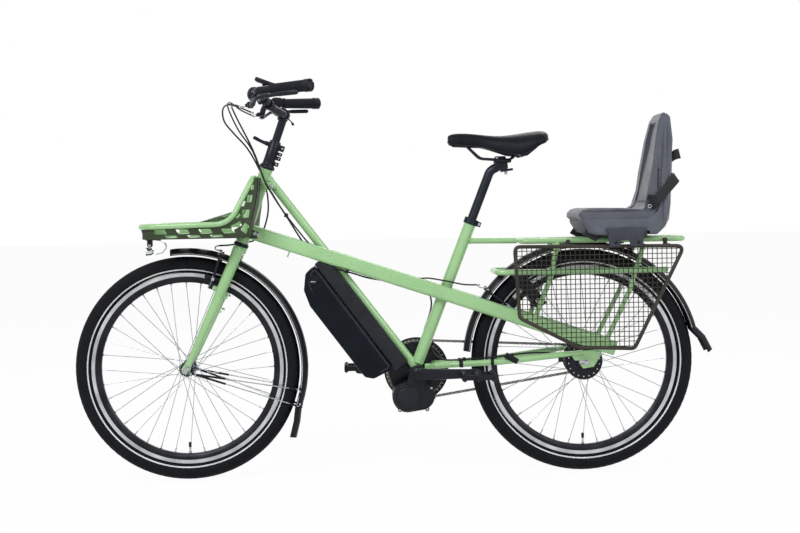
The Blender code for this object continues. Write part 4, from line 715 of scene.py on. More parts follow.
def makeFrontHub():
    half = [(-48, 5.6), (-48, 8.6), (-46.5, 9.4), (-38, 11.2), (-35.6, 13), (-34.6, 21), (-33.8, 22.4),
            (-31.4, 22.4), (-30.4, 21.4), (-29, 15.5), (-24, 11.8), (-10, 10.6)]
    shell = revolve(twoHalves(half), frontAxle, across, 48, True)
    parts = [(shell, blackAlloy)] + makeSpokes(frontAxle, 32.6, 19.5, 62)
    makePiece("frontHub", "front_wheel", ["front_hub"], parts, frontAxle)


def makeRearHub():
    profile = [(-66, 5.8), (-66, 10.6), (-64.5, 11.5), (-56, 12), (-54.5, 17), (-52, 22), (-47.5, 25),
               (-45, 38), (-43.4, 51), (-41.5, 54.6), (-38.6, 56), (-30.4, 56), (-28.6, 54.4),
               (-26.6, 47.6), (-24, 46), (-8, 45.2), (8, 45.2), (23, 46), (25.6, 47.6), (27.6, 51.6),
               (29, 52.8), (34, 52.8), (35.4, 51), (36.6, 38), (38.4, 30), (39, 13), (40, 11.6),
               (64.5, 11.5), (66, 10.6), (66, 5.8)]
    shell = revolve(profile, rearAxle, across, 64, True)
    rings = revolve([(-46.2, 30), (-45.9, 36.4), (-46.6, 36.4), (-47, 30)], rearAxle, across, 48, True)
    rivets = bmesh.new()
    for i in range(18):
        at = roundWheel(rearAxle, 20 * i + 8, 46 * mm, -44.3 * mm)
        peg(at + across * 0.6 * mm, at - across * 0.9 * mm, 2.3, 0.5, 10, rivets)
    parts = [(shell, motorAlloy), (rings, blackAlloy), (rivets, boltSteel)]
    parts += makeSpokes(rearAxle, 32.2, 49.6, 30)
    makePiece("rearHub", "rear_wheel", ["rear_hub"], parts, rearAxle)


def makeAxle(name, node, body, hub, faces, end):
    rod, nuts, washers = blank(3)
    peg(*through(hub, end), 4.6, 0.8, 20, rod)
    for side in (-1, 1):
        inner = hub + across * side * faces * mm
        revolve([(0, 4.7), (0, 10), (1.8, 10), (1.8, 4.7)], inner, across * side, 28, True, washers)
        revolve([(1.8, 4.7), (1.8, 7.6), (2.4, 8.4), (7.2, 8.4), (8.0, 7.6), (8.0, 4.7)], inner,
                across * side, 6, True, nuts)
        revolve([(7.9, 4.7), (7.9, 7.2), (9.4, 5.6), (9.4, 4.7)], inner, across * side, 24, True, nuts)
    makePiece(name, body, [node], [(rod, nuts, washers, boltSteel)], hub)


makeTyre("frontTread", frontAxle, "front_wheel")
makeTyre("rearTread", rearAxle, "rear_wheel")
makeRim("frontHoop", frontAxle, "front_wheel")
makeRim("rearHoop", rearAxle, "rear_wheel")
makeFrontHub()
makeRearHub()
makeAxle("frontAxleNuts", "front_axle", "steering", frontAxle, 56.4, 70)
makeAxle("rearAxleNuts", "rear_axle", "frame", rearAxle, 75.3, 88)


# Drive: chain, chainwheel, cranks, pedals and sprocket
print("drive")
driveLook = {
    "pitch": 12.7,  # half-inch chain
    "ringTeeth": 44,
    "sprocketTeeth": 19,
    "chainLine": 45.0,
    "crankLength": 170.0,
}


def chainPath():
    ring = driveLook["pitch"] * driveLook["ringTeeth"] / (2 * pi)
    cog = driveLook["pitch"] * driveLook["sprocketTeeth"] / (2 * pi)
    run = rearAxle - crankAxle
    heading = atan2(run.z, run.x)
    tilt = atan2(ring - cog, run.length / mm)
    points = []
    rounds = ((crankAxle, ring, heading + pi / 2 - tilt, pi + 2 * tilt, 60),
              (rearAxle, cog, heading - pi / 2 + tilt, pi - 2 * tilt, 30))
    for centre, radius, start, turn, steps in rounds:
        for i in range(steps + 1):
            angle = start + turn * i / steps
            points.append(centre + spot(radius * cos(angle), driveLook["chainLine"], radius * sin(angle)))
    return points


def spaced(points, count):
    ring = points + [points[0]]
    lengths = [(b - a).length for a, b in zip(ring, ring[1:])]
    total, result, i, gone = sum(lengths), [], 0, 0.0
    for k in range(count):
        goal = total * k / count
        while gone + lengths[i] < goal:
            gone += lengths[i]
            i += 1
        result.append(ring[i].lerp(ring[i + 1], (goal - gone) / lengths[i]))
    return result


def makeChain():
    route = chainPath()
    count = 2 * round(pathLength(route + route[:1]) / (driveLook["pitch"] * mm) / 2)
    pins = spaced(route, count)
    plates, rollers = blank(2)
    for i, pin in enumerate(pins):
        after = pins[(i + 1) % count]
        run = (after - pin).normalized()
        lift = across.cross(run)
        near, far = (1.6, 2.5) if i % 2 else (2.6, 3.5)
        for side in (-1, 1):
            outline = []
            for centre, flip in ((pin, -1), (after, 1)):
                for a, reach in ((90, 4.0), (45, 4.1), (0, 4.2), (-45, 4.1), (-90, 4.0)):
                    out = run * flip * cos(radians(a)) + lift * flip * -sin(radians(a))
                    outline.append(centre + out * reach * mm)
                middle = (pin + after) / 2
                outline.append(middle + lift * flip * 2.9 * mm)
            rings = [[p + across * side * d * mm for p in outline] for d in (near, far)]
            loft(plates, rings)
        peg(*through(pin, 2.4), 3.85, 0.3, 10, rollers)
        peg(*through(pin, 3.9), 1.8, 0.2, 8, rollers)
    makePiece("chainLinks", "frame", ["chain"],
              [(plates, chainSteel), (rollers, rollerSteel)])


def toothed(centre, teeth, low, high, hole):
    pitchRadius = driveLook["pitch"] * teeth / (2 * pi)
    outline = []
    for i in range(teeth):
        for share, reach in ((-0.36, -3.9), (-0.2, -1.6), (-0.07, 2.6), (0.07, 2.6), (0.2, -1.6),
                             (0.36, -3.9)):
            angle = 2 * pi * (i + 0.5 + share) / teeth
            outline.append((cos(angle) * (pitchRadius + reach), sin(angle) * (pitchRadius + reach)))
    bm = bmesh.new()
    inner = [(cos(2 * pi * (i / 6 + 0.15) / teeth) * hole, sin(2 * pi * (i / 6 + 0.15) / teeth) * hole)
             for i in range(teeth * 6)]
    rings = [[centre + Vector((x * mm, y * mm, z * mm)) for x, z in points]
             for points, y in ((inner, low), (outline, low), (outline, high), (inner, high))]
    loft(bm, rings, closed=True)
    return bm


def makeSprocket():
    cog = toothed(rearAxle, driveLook["sprocketTeeth"], 44.0, 46.4, 14.0)
    carrier = revolve([(42.6, 12.8), (42.6, 26), (44.2, 27), (44.2, 12.8)], rearAxle, across, 48, True)
    makePiece("rearCog", "sprocket", ["rear_sprocket"],
              [(cog, chainSteel), (carrier, boltSteel)], rearAxle)


def crankArm(side):
    length = driveLook["crankLength"]
    rings = []
    for t, width, thick, out in ((-0.11, 20, 9, 79), (-0.09, 30, 12, 79), (-0.05, 35, 14, 80),
                                 (0.05, 36, 15, 80.5), (0.14, 33, 15, 82), (0.5, 30, 13.5, 83),
                                 (0.86, 27, 13, 84), (0.97, 28, 13, 84), (1.04, 26, 13, 84),
                                 (1.075, 18, 11, 84)):
        centre = crankAxle + spot(-side * length * t, side * out, 0)
        rings.append([centre + Vector((0, b * mm, a * mm)) for a, b in softRectangle(width, thick, 4.5)])
    return loft(bmesh.new(), rings)


def crankEnd(side):
    pin, out = bmesh.new(), across * side
    pedalAxle = crankAxle - spot(170, 0, 0) * side
    peg(pedalAxle + out * 80 * mm, pedalAxle + out * 96 * mm, 8.2, 1, 6, pin)
    peg(pedalAxle + out * 94 * mm, pedalAxle + out * 184 * mm, 5.6, 0.6, 16, pin)
    profile = [(0, 0), (0, 14.5), (4, 14), (5, 12.5), (5, 9), (3.2, 8.4), (3.2, 0)]
    return pin, revolve(profile, crankAxle + out * 86.5 * mm, out)


def makeCranks():
    axle = peg(crankAxle - across * 80 * mm, crankAxle + across * 40 * mm, 8.2, 0.5, 24)
    pin, cap = crankEnd(-1)
    makePiece("crankLeft", "drive", ["crank_left"],
              [(crankArm(-1), blackPaint), (axle, boltSteel), (cap, blackPaint), (pin, boltSteel)],
              crankAxle)
    ring = toothed(crankAxle, driveLook["ringTeeth"], 43.9, 46.1, 66.0)
    guard = revolve([(48.6, 60), (48.6, 95), (49.2, 97), (51.2, 97), (52, 95.6), (52, 93), (50.6, 92),
                     (50.6, 62), (51.4, 60)], crankAxle, across, 96, True)
    spider = revolve([(40.6, 16), (40.6, 22), (42.2, 26), (42.2, 82), (43.4, 83), (43.4, 60), (47.6, 58),
                      (51.4, 56), (53, 34), (60, 20), (79, 17), (79, 12), (60, 12)], crankAxle, across, 72,
                      True)
    bolts = bmesh.new()
    for i in range(5):
        bolt(roundWheel(crankAxle, 72 * i + 18, 62 * mm, 51.2 * mm), across, 5.2, 2.6, bolts)
    pin, cap = crankEnd(1)
    makePiece("crankRight", "drive", ["crank_right"],
              [(crankArm(1), blackPaint), (ring, chainSteel), (guard, blackPlastic), (spider, blackPaint),
               (bolts, pin, boltSteel), (cap, blackPaint)], crankAxle)


def makePedal(name, node, body, side):
    place = crankAxle + Vector((-side * driveLook["crankLength"] * mm, 0, 0))
    at = place + across * side * 142.5 * mm
    barrel, cage, pins, cap = blank(4)
    revolve([(0, 6.4), (0, 10), (3, 11.4), (16, 11.4), (20, 10.2), (66, 10.2), (70, 11.4), (86, 11.4),
             (89, 9.6), (89, 6.4)], place + across * side * 98 * mm, across * side, 28, True, barrel)
    for x in (-41, 41):
        rings = []
        for y, height in ((-42, 16), (-38, 21), (-30, 24), (30, 24), (38, 21), (42, 16)):
            centre = at + spot(x, y, 0)
            rings.append([centre + Vector((a * mm, 0, b * mm)) for a, b in softRectangle(12, height, 2.5)])
        loft(cage, rings)
        for y in range(-36, 37, 9):
            for z in (-1, 1):
                foot = at + spot(x, y, z * 11)
                peg(foot, foot + upward * z * 1.6 * mm, 2.4, 0.4, 8, pins)
    for y in (-40, 40):
        block((80, 6, 15), at + across * y * mm, 1.6, cage)
    for y in (-14, 14):
        block((80, 4, 9), at + across * y * mm, 1.2, cage)
    revolve([(0, 0), (0, 9), (2.4, 8.4), (3.2, 6), (3.2, 0)], place + across * side * 186.8 * mm,
            across * side, 24, False, cap)
    makePiece(name, body, [node],
              [(barrel, cage, blackPlastic), (pins, cap, blackPlastic)], place + across * side * 142 * mm)


makeChain()
makeSprocket()
makeCranks()
for side, name in bothSides:
    makePedal("pedal" + name.title(), "pedal_" + name, name + "_pedal", side)


# Motor and battery
print("motor and battery")
powerLook = {
    "coverRadius": 39.5,
    "housingFront": (31.0, 235.0),
    "housingRear": (70.0, 238.0),
    "caseHalf": 41.0,
    "railHalf": 33.0,
}
tubeRun = Vector((0.5909, 0, -0.8067))
tubeBelow = Vector((-0.8067, 0, -0.5909))
tubeStart = Vector((-0.350, 0, 0.866))


def besideTube(points):
    places = [tubeStart + tubeRun * along * mm + tubeBelow * below * mm for along, below in points]
    return [(p.x, p.z) for p in places]


def alongTube(points):
    return [Vector((x, z, 0)) for x, z in besideTube(points)]


def motorForm(front, rear, near, far, bevel=0.0, segments=2):
    ends = [tuple(c * mm for c in powerLook[key]) for key in ("housingFront", "housingRear")]
    return plate(capsule(*ends, front * mm, rear * mm, 26), near * mm, far * mm, bevel * mm,
                 segments=segments)


def makeMotor():
    housing = motorForm(44, 41, -58, 30, 4, 3)
    back = motorForm(38, 36, 29, 38, 4, 3)
    seam = motorForm(44.5, 41.5, -36, -33, 0.6)
    arm = plate(capsule((crankAxle.x, crankAxle.z), (55 * mm, 262 * mm), 24 * mm, 28 * mm, 16), -62 * mm,
                -36 * mm, 3 * mm, segments=3)
    r, middle = powerLook["coverRadius"], Vector((31 * mm, -56 * mm, 234 * mm))
    cover = revolve([(0, r), (7, r), (9, r - 1), (10, r - 3.5), (9.2, r - 5.2), (9.2, r - 8.5),
                     (10.2, r - 10), (11, r - 13), (11.6, 8), (11.7, 0)], middle, -across, 72)
    ringLine = revolve([(9.6, r - 6.6), (10.3, r - 6.3), (10.3, r - 5.6), (9.6, r - 5.3)], middle, -across,
                       72, True)
    axleTube = pipe(crankAxle - across * 60 * mm, crankAxle + across * 39 * mm, 17.4, 9, 36)
    lugs, screws = blank(2)
    for x, z in ((8, 199), (88, 199), (101, 262)):
        at = spot(x, -58, z)
        peg(at, at + across * 24 * mm, 6, 1, 20, lugs)
        bolt(at, -across, 3.4, 2.4, screws)
    fins = bmesh.new()
    for i in range(6):
        block((3, 40, 16), Vector(((88 + i * 5), 2, 236 - abs(i - 2) * 1.5)) * mm, 1.0, fins)
    makePiece("motorHousing", "frame", ["motor_unit"],
              [(housing, back, motorAlloy), (seam, blackPaint), (arm, cover, motorAlloy),
               (ringLine, axleTube, blackPaint), (lugs, motorAlloy), (screws, boltSteel),
               (fins, motorAlloy)])


def makeBattery():
    half = powerLook["railHalf"] * mm
    rail = plate(besideTube(((303, 2), (655, 2), (655, 46.5), (258, 46.5), (258, 33), (292, 5))), -half,
                 half, 5 * mm, segments=3)
    rail = carve(rail, tube([tubeStart + tubeRun * 250 * mm, tubeStart + tubeRun * 700 * mm], 13.1, 32),
                 tube(through(crankAxle, 60), 25, 32))
    makePiece("batteryRail", "frame", ["battery_mount"], [(rail, railPlastic)])
    corners = [(259, 47.8), (264, 84), (300, 117), (348, 131), (612, 130), (632, 112), (641, 60),
               (637, 47.8)]
    case = sidePlate(alongTube(corners), -powerLook["caseHalf"], powerLook["caseHalf"], 16, 6, None, 5, 4)
    face, lines = blank(2)
    for side in (-1, 1):
        panel = alongTube(((316, 58), (618, 58), (606, 119), (356, 122), (312, 100)))
        sidePlate(panel, side * 38, side * 41.8, 12, 1.4, face, 5, 3)
        # A thin lighter line round the upper edge of the face panel: a painted highlight on the case's edge
        seam = rounded(alongTube(((322, 101), (290, 92), (272, 66), (272, 54), (632, 54), (628, 84))),
                       8 * mm, 5)
        tube([Vector((p.x, side * 40.9 * mm, p.y)) for p in seam], 1.1, 8, lines)
    handle = plate(besideTube(((262, 50), (266, 80), (286, 102), (296, 96), (280, 76), (277, 50))),
                   -24 * mm, 24 * mm, 2 * mm)
    lock = spot(-239, -41, 585)
    bezel = revolve([(-1, 9.2), (-1, 13.6), (1.6, 13.6), (2.2, 12.8), (2.2, 9.2)], lock, -across, 40, True)
    motorGap = motorForm(44.8, 41.8, -72, 40)
    case = carve(case, motorGap, peg(spot(-239, -33, 585), spot(-239, -60, 585), 8.8, 0.2, 32))
    makePiece("batteryCase", "frame", ["battery_case"],
              [(case, face, batteryPlastic), (lines, charcoalMountAndSeamHighlight), (handle, blackPlastic),
               (bezel, blackPaint)])
    barrel = revolve([(-7, 0), (-7, 8), (0.4, 8), (1, 7.4), (1, 4.5), (0.4, 4.2), (0.4, 0)], lock, -across,
                     40)
    slot = block((7, 1.0, 1.4), lock - across * 1.0 * mm, 0.2)
    flap = block((13, 2, 3), lock + spot(0, -1.6, -5), 0.6)
    makePiece("batteryLock", "key", ["battery_key"],
              [(barrel, blackPaint), (slot, blackPlastic), (flap, boltSteel)], lock)


makeMotor()
makeBattery()


# Frame tubes, fork and stays
print("frame tubes")
frameLook = {
    "headRadius": 18.5,
    "downRadius": 12.7,
    "seatRadius": 17.5,
    "sideTube": (21.0, 42.0),
    "shellRadius": 21.5,
    "stayRadius": 9.2,
}


def weldBead(at, axis, radius, side=32):
    return revolve([(-2.2, radius - 0.6), (-1.5, radius + 0.7), (0, radius + 1.3), (1.5, radius + 0.7),
                    (2.2, radius - 0.6)], at, axis, side, True)


def makeHeadTube():
    r = frameLook["headRadius"]
    head = revolve([(0, 15.3), (0, r), (0.6, r + 0.6), (7, r + 0.6), (9, r), (219, r), (221, r + 0.6),
                    (227.4, r + 0.6), (228, r), (228, 15.3)], headFoot, steerUp, 48, True)
    start, end = onSteerer(212), crankAxle + spot(-2, 0, 12)
    run = (end - start).normalized()
    down = tube([start + run * 12 * mm, end], frameLook["downRadius"], 32)
    bead = weldBead(start + run * 22 * mm, run, frameLook["downRadius"] + 0.4)
    makePiece("headAndDownTube", "frame", ["head_and_down_tube"],
              [(head, down, bead, greenPaint)])


def makeSeatTube():
    r = frameLook["seatRadius"]
    length = bike["seatTubeLength"] / mm
    mast = revolve([(20, 13.9), (14, r), (length - 1, r), (length, r - 0.8), (length, 13.9)], seatFoot,
                   seatUp, 48, True)
    shell = pipe(*through(crankAxle, 34), frameLook["shellRadius"], 18, 48)
    stayStart, stayEnd = Vector((0.2165, 0, 0.690)), Vector((0.3635, 0, 0.688))
    stay = tube([stayStart, stayEnd], 8.5, 24)
    beads = bmesh.new()
    for at, axis, radius in ((stayStart + rearward * 10 * mm, rearward, 8.7),
                             (seatFoot + seatUp * 19 * mm, seatUp, 17.4)):
        addTo(beads, weldBead(at, axis, radius))
    makePiece("seatTube", "frame", ["seat_tube_and_stay"],
              [(mast, shell, greenPaint), (stay, beads, greenPaint)])


def sideRoute(side):
    path = [onSideTube(x, side) for x in (-0.430, -0.300, 0.144, 0.640)]
    return path[:2] + rounded([path[1], path[2], path[3]], 300 * mm, 8)[1:]


frontRadial = Vector((77, 0, 241)).normalized()
frontArmAxis = Vector((-frontRadial.z, 0, frontRadial.x))
rearRadial = slope(143)
rearArmAxis = squareTo(rearRadial)


def brakePivot(axle, radial, side, half):
    return axle + radial * 253 * mm + across * side * half * mm


def makeSideTube(side, name):
    width, height = frameLook["sideTube"]
    route = sideRoute(side)
    first = route[0]
    run = (route[1] - first).normalized()
    line = [first + run * 0.2 * mm, first + run * 2 * mm] + route[1:-1]
    line += [route[-1] - run * 1.5 * mm, route[-1]]
    bar = sweep(line, flatOval(width * mm, height * mm, 14), across,
                scale=[0.94, 1.0] + [1.0] * (len(route) - 2) + [1.0, 0.95])
    boss, screws = blank(2)
    pivot = brakePivot(rearAxle, rearRadial, side, 34)
    peg(pivot - rearArmAxis * 14 * mm, pivot - rearArmAxis * 5.6 * mm, 7.2, 0.8, 24, boss)
    peg(pivot - rearArmAxis * 7 * mm, pivot + rearArmAxis * 8 * mm, 3.5, 0.4, 16, boss)
    at = onSideTube(-0.407, side, 10.2)
    bolt(at, across * side, 6.0, 3.4, screws)
    for x in (-0.19, 0.48):
        bolt(onSideTube(x, side, 10.2, 5), across * side, 2.6, 1.6, screws)
    bar = carve(bar, tube([onSteerer(-20), onSteerer(120)], 18.8, 40))
    makePiece(name + "SideTube", "frame", ["side_tube_" + name],
              [(bar, boss, greenPaint), (screws, boltSteel)])


def makeStays():
    route = spots(((112, 29, 323), (158, 29, 326), (196, 37.5, 328), (304, 52, 334), (486, 76.5, 354),
                   (545, 78, 360)))
    outline = flatSpots(((514, 347), (524, 333), (539, 322), (546, 311), (578, 316), (601, 353), (601, 366),
                         (514, 362)))
    stays, plates, clips, steel = blank(4)
    axleHole = through(rearAxle, 90)
    tube([spot(112, -33, 323), spot(112, 33, 323)], 9.5, 24, stays)
    block((28, 24, 16), spot(99, 0, 320), 3, stays)
    for side in (-1, 1):
        line = rounded([Vector((p.x, p.y * side, p.z)) for p in route], 40 * mm, 5)
        sizes = [1.0] * (len(line) - 4) + [0.97, 0.93, 0.88, 0.7]
        tube(line, frameLook["stayRadius"], 24, stays, False, sizes, upward)
        dropout = sidePlate(outline, side * 69, side * 75, 6, 1.2, bmesh.new(), 5)
        slot = block((34, 20, 10.8), spot(537, side * 72, 330), 0)
        addTo(plates, carve(dropout, slot, tube(axleHole, 5.3, 24)))
        for x, y, z, long in ((192, 36.5, 328, 12), (283, 49.4, 333, 10)):
            at = spot(x, side * y, z)
            run = Vector((0.99, side * 0.14, 0.05)).normalized()
            peg(at - run * long / 2 * mm, at + run * long / 2 * mm, 10.4, 1.2, 24, clips)
        at = spot(592, side * 75.5, 358)
        bolt(at, across * side, 4.2, 3.0, steel)
        block((22, 3, 9), spot(545, side * 77, 331), 1, steel)
    block((42, 8, 17), spot(337, -66, 345), 2.5, clips, Vector((0.86, 0, -0.5)))
    block((15, 7, 12), spot(480, -81, 339), 2, clips)
    makePiece("chainStayPair", "frame", ["chainstays"],
              [(stays, plates, greenPaint), (clips, blackPlastic), (steel, boltSteel)])


def makeSeatClamp():
    collar = pipe(seatTop - seatUp * 14 * mm, seatTop + seatUp * 4 * mm, 21.3, 17.8, 48)
    lug = seatTop - seatUp * 5 * mm + seatRear * 25 * mm
    ears = block((15, 17, 12), lug, 2, along=seatUp)
    screw = bolt(lug - across * 8.5 * mm, -across, 4.6, 4)
    makePiece("seatTubeClamp", "frame", ["seat_clamp"],
              [(collar, ears, blackAlloy), (screw, boltSteel)])


def makeFork():
    crown = tube([onSteerer(-26, 0, -45), onSteerer(-26, 0, 45)], 15.5, 32)
    neck = revolve([(-30, 12.7), (-30, 19), (-27, 20.6), (-13, 20.8), (-12, 20.2), (-12, 14.5)], headFoot,
                   steerUp, 48, True)
    cup = revolve([(-12.2, 14.4), (-12.2, 20.4), (-11.6, 21.6), (-9, 22.4), (-4.6, 22.4), (-3.6, 21.4),
                   (-1.2, 20.6), (-1.2, 14.4)], headFoot, steerUp, 48, True)
    column = revolve([(-28, 12.7), (-28, 14.2), (235.2, 14.2), (235.2, 12.7)], headFoot, steerUp, 40, True)
    legs, ends, bosses, steel, lugs = blank(5)
    for side in (-1, 1):
        path = [onSteerer(-14, 0, side * 45), onSteerer(-24, 2, side * 45.6)] + spots((
            (-470, side * 46, 642), (-489, side * 47, 600), (-519, side * 48.8, 534),
            (-549, side * 50.5, 469), (-579, side * 52, 405), (-601, side * 53.2, 358),
            (-608.5, side * 53.5, 342)))
        sizes = [0.86, 1.0, 1.0, 1.0, 0.94, 0.84, 0.7, 0.58, 0.5]
        line = smooth(path, 4)
        grow = [sizes[min(i // 4, 8)] + (sizes[min(i // 4 + 1, 8)] - sizes[min(i // 4, 8)]) * (i % 4) / 4
                for i in range(len(line))]
        tube(line, 16, 28, legs, False, grow, upward)
        end = capsule((frontAxle.x, frontAxle.z), (-603 * mm, 356 * mm), 13 * mm, 8 * mm, 14)
        low, high = sorted((side * 50 * mm, side * 56 * mm))
        eye = plate(end, low, high, 1.2 * mm, bmesh.new())
        hole = tube(through(frontAxle, 70), 5.2, 24)
        addTo(ends, carve(eye, hole))
        pivot = brakePivot(frontAxle, frontRadial, side, 40)
        peg(pivot - frontArmAxis * 38 * mm, pivot - frontArmAxis * 5.6 * mm, 7.2, 0.8, 24, bosses)
        peg(*through(pivot, 8, frontArmAxis), 3.5, 0.4, 16, bosses)
        for z in (505, 545):  # eyelets for a front carrier
            x = -549 + (z - 469) * 0.458
            at = spot(x + 15.5, side * 49.5, z - 4)
            peg(at, at + spot(9, 0, -3.5), 3.2, 0.6, 14, lugs)
        bolt(spot(-601, side * 56.4, 341.5), across * side, 3.6, 3, steel)
    crown = carve(crown, tube([onSteerer(-60), onSteerer(-1)], 12.7, 32))
    makePiece("forkBlades", "steering", ["fork"],
              [(crown, neck, greenPaint), (cup, blackAlloy), (column, boltSteel), (legs, ends, greenPaint),
               (bosses, lugs, greenPaint), (steel, boltSteel)])


makeHeadTube()
makeSeatTube()
for side, name in bothSides:
    makeSideTube(side, name)
makeStays()
makeSeatClamp()
makeFork()


# Rear rack, its legs and the wire guard
print("racks")
rackLook = {
    "deckHeight": 687.0,
    "lowerHeight": 598.0,
    "wirePitch": 14.0,
    "wireRadius": 1.25,
    "guardSide": -120.0,
}


def makeRack():
    z = rackLook["deckHeight"]
    loop = rounded(spots(((373, -70, z), (847, -70, z), (847, 70, z), (373, 70, z))), 24 * mm, 8, True)
    bars = tube(loop, 8, 24, None, True, None, upward)
    z = rackLook["lowerHeight"]
    hoop = rounded(spots(((793, -85, z), (298, -85, z), (298, 85, z), (793, 85, z))), 32 * mm, 8)
    tube(hoop, 8.2, 24, bars, False, None, upward)
    for side in (-1, 1):
        peg(spot(790, side * 85, z), spot(796.5, side * 85, z), 7.4, 2.4, 24, bars)
    for x in (450, 660):
        tube([spot(x, -70, 690), spot(x, 70, 690)], 5, 18, bars)
    steel = bmesh.new()
    for side in (-1, 1):
        leg = [spot(476, side * 71, 686), spot(460, side * 72, 597), spot(441, side * 70, 545),
               onSideTube(0.408, side, 0, 12)]
        tube(rounded(leg, 40 * mm, 6), 7.5, 22, bars)
        for x in (500, 700, 800):
            bolt(spot(x, side * 77.4, 687), across * side, 3.2, 2.2, steel)
    makePiece("rackDeck", "frame", ["rear_rack"], [(bars, greenPaint), (steel, boltSteel)])
    top = spots(((606, -80, 376), (687, -69, 539), (729, -68, 670.5), (729, 68, 670.5), (687, 69, 539),
                 (606, 80, 376)))
    bow = tube(rounded(top, 16 * mm, 6), 7, 24, None, False, None, rearward)
    feet = bmesh.new()
    for side in (-1, 1):
        bolt(spot(608.5, side * 86.8, 381), across * side, 4.2, 3, feet)
    makePiece("rackLegs", "frame", ["rack_rear_legs"],
              [(bow, greenPaint), (feet, boltSteel)])


def makeGuard():
    y = rackLook["guardSide"]
    corners = [(345, 673), (837, 667), (689, 372), (526, 379), (357, 467)]
    edge = rounded([spot(x, y, z) for x, z in corners], 16 * mm, 6, True)
    frameBar = tube(edge, 5.5, 20, None, True, None, across)
    wires = bmesh.new()
    pitch = rackLook["wirePitch"]
    for upright in (True, False):
        place = 352.0 if upright else 380.0
        while place < (830.0 if upright else 668.0):
            crossings = []
            for a, b in zip(corners, corners[1:] + corners[:1]):
                k = 0 if upright else 1
                if (a[k] > place) != (b[k] > place):
                    crossings.append(a[1 - k] + (b[1 - k] - a[1 - k]) * (place - a[k]) / (b[k] - a[k]))
            if len(crossings) == 2 and abs(crossings[1] - crossings[0]) > 6:
                depth = y + (1.2 if upright else -1.2)
                ends = [Vector((place, depth, c)) if upright else Vector((c, depth, place))
                        for c in sorted(crossings)]
                tube([ends[0] * mm, ends[1] * mm], rackLook["wireRadius"], 6, wires)
            place += pitch
    clips = bmesh.new()
    for x in (505, 790):
        block((14, 39, 4), spot(x, -98.4, 672.5), 1, clips)
        block((12, 7, 16), spot(x, -79.6, 682), 1, clips)
    makePiece("sideGuard", "frame", ["pannier_guard"], [(frameBar, wires, clips, wireCoat)])


makeRack()
makeGuard()


# Front tray
print("tray")
trayLook = {
    "half": 150.0,
    "topHalf": 100.0,
    "rail": 8.0,
    "sheet": 3.0,
    "cornerRadius": 62.0,
    "windowPitch": 64.5,
}


def narrowed(point):
    rise = min(1.0, max(0.0, (point.z / mm - 758) / (886 - 758)))
    return Vector((point.x, point.y * (1 - rise * (1 - trayLook["topHalf"] / trayLook["half"])), point.z))


def cornerDepth(x):
    radius = trayLook["cornerRadius"]
    ahead = min(56.0, max(0.0, -666 - x / mm))
    return radius - sqrt(radius ** 2 - ahead ** 2)


def slices(bm, axis, places):
    for place in places:
        bmesh.ops.bisect_plane(bm, geom=bm.verts[:] + bm.edges[:] + bm.faces[:],
                               plane_co=[a * place * mm for a in axis], plane_no=axis)


def splitCaps(bm, **settings):
    bmesh.ops.triangulate(bm, faces=[f for f in bm.faces if len(f.verts) > 4], **settings)


def trayWindows():
    windows = []
    for bottom, top, start, count in ((729, 742, -688, 4), (716, 725, -656, 3)):
        for i in range(count):
            x = start + i * trayLook["windowPitch"]
            shape = flatSpots(((x + 8, bottom), (x + 42, bottom), (x + 34, top), (x, top)))
            windows.append(sidePlate(shape, -170, 170, 1.5, steps=2))
    for x, z, wide, tall, turn in ((-450, 750, 30, 16, 24), (-425, 742, 24, 22, 50),
                                   (-424, 783, 20, 26, -8), (-446, 778, 14, 12, 30),
                                   (-413, 826, 14, 24, -8), (-430, 812, 9, 18, -20),
                                   (-405, 858, 8, 16, -12)):
        c, s = cos(radians(turn)), sin(radians(turn))
        shape = [spot(x + a * wide * c - b * tall * s, z + a * wide * s + b * tall * c, 0)
                 for a, b in ((-0.5, -0.5), (0.5, -0.38), (0.5, 0.5), (-0.5, 0.38))]
        windows.append(sidePlate(shape, -170, 170, 1.5, steps=2))
    return windows


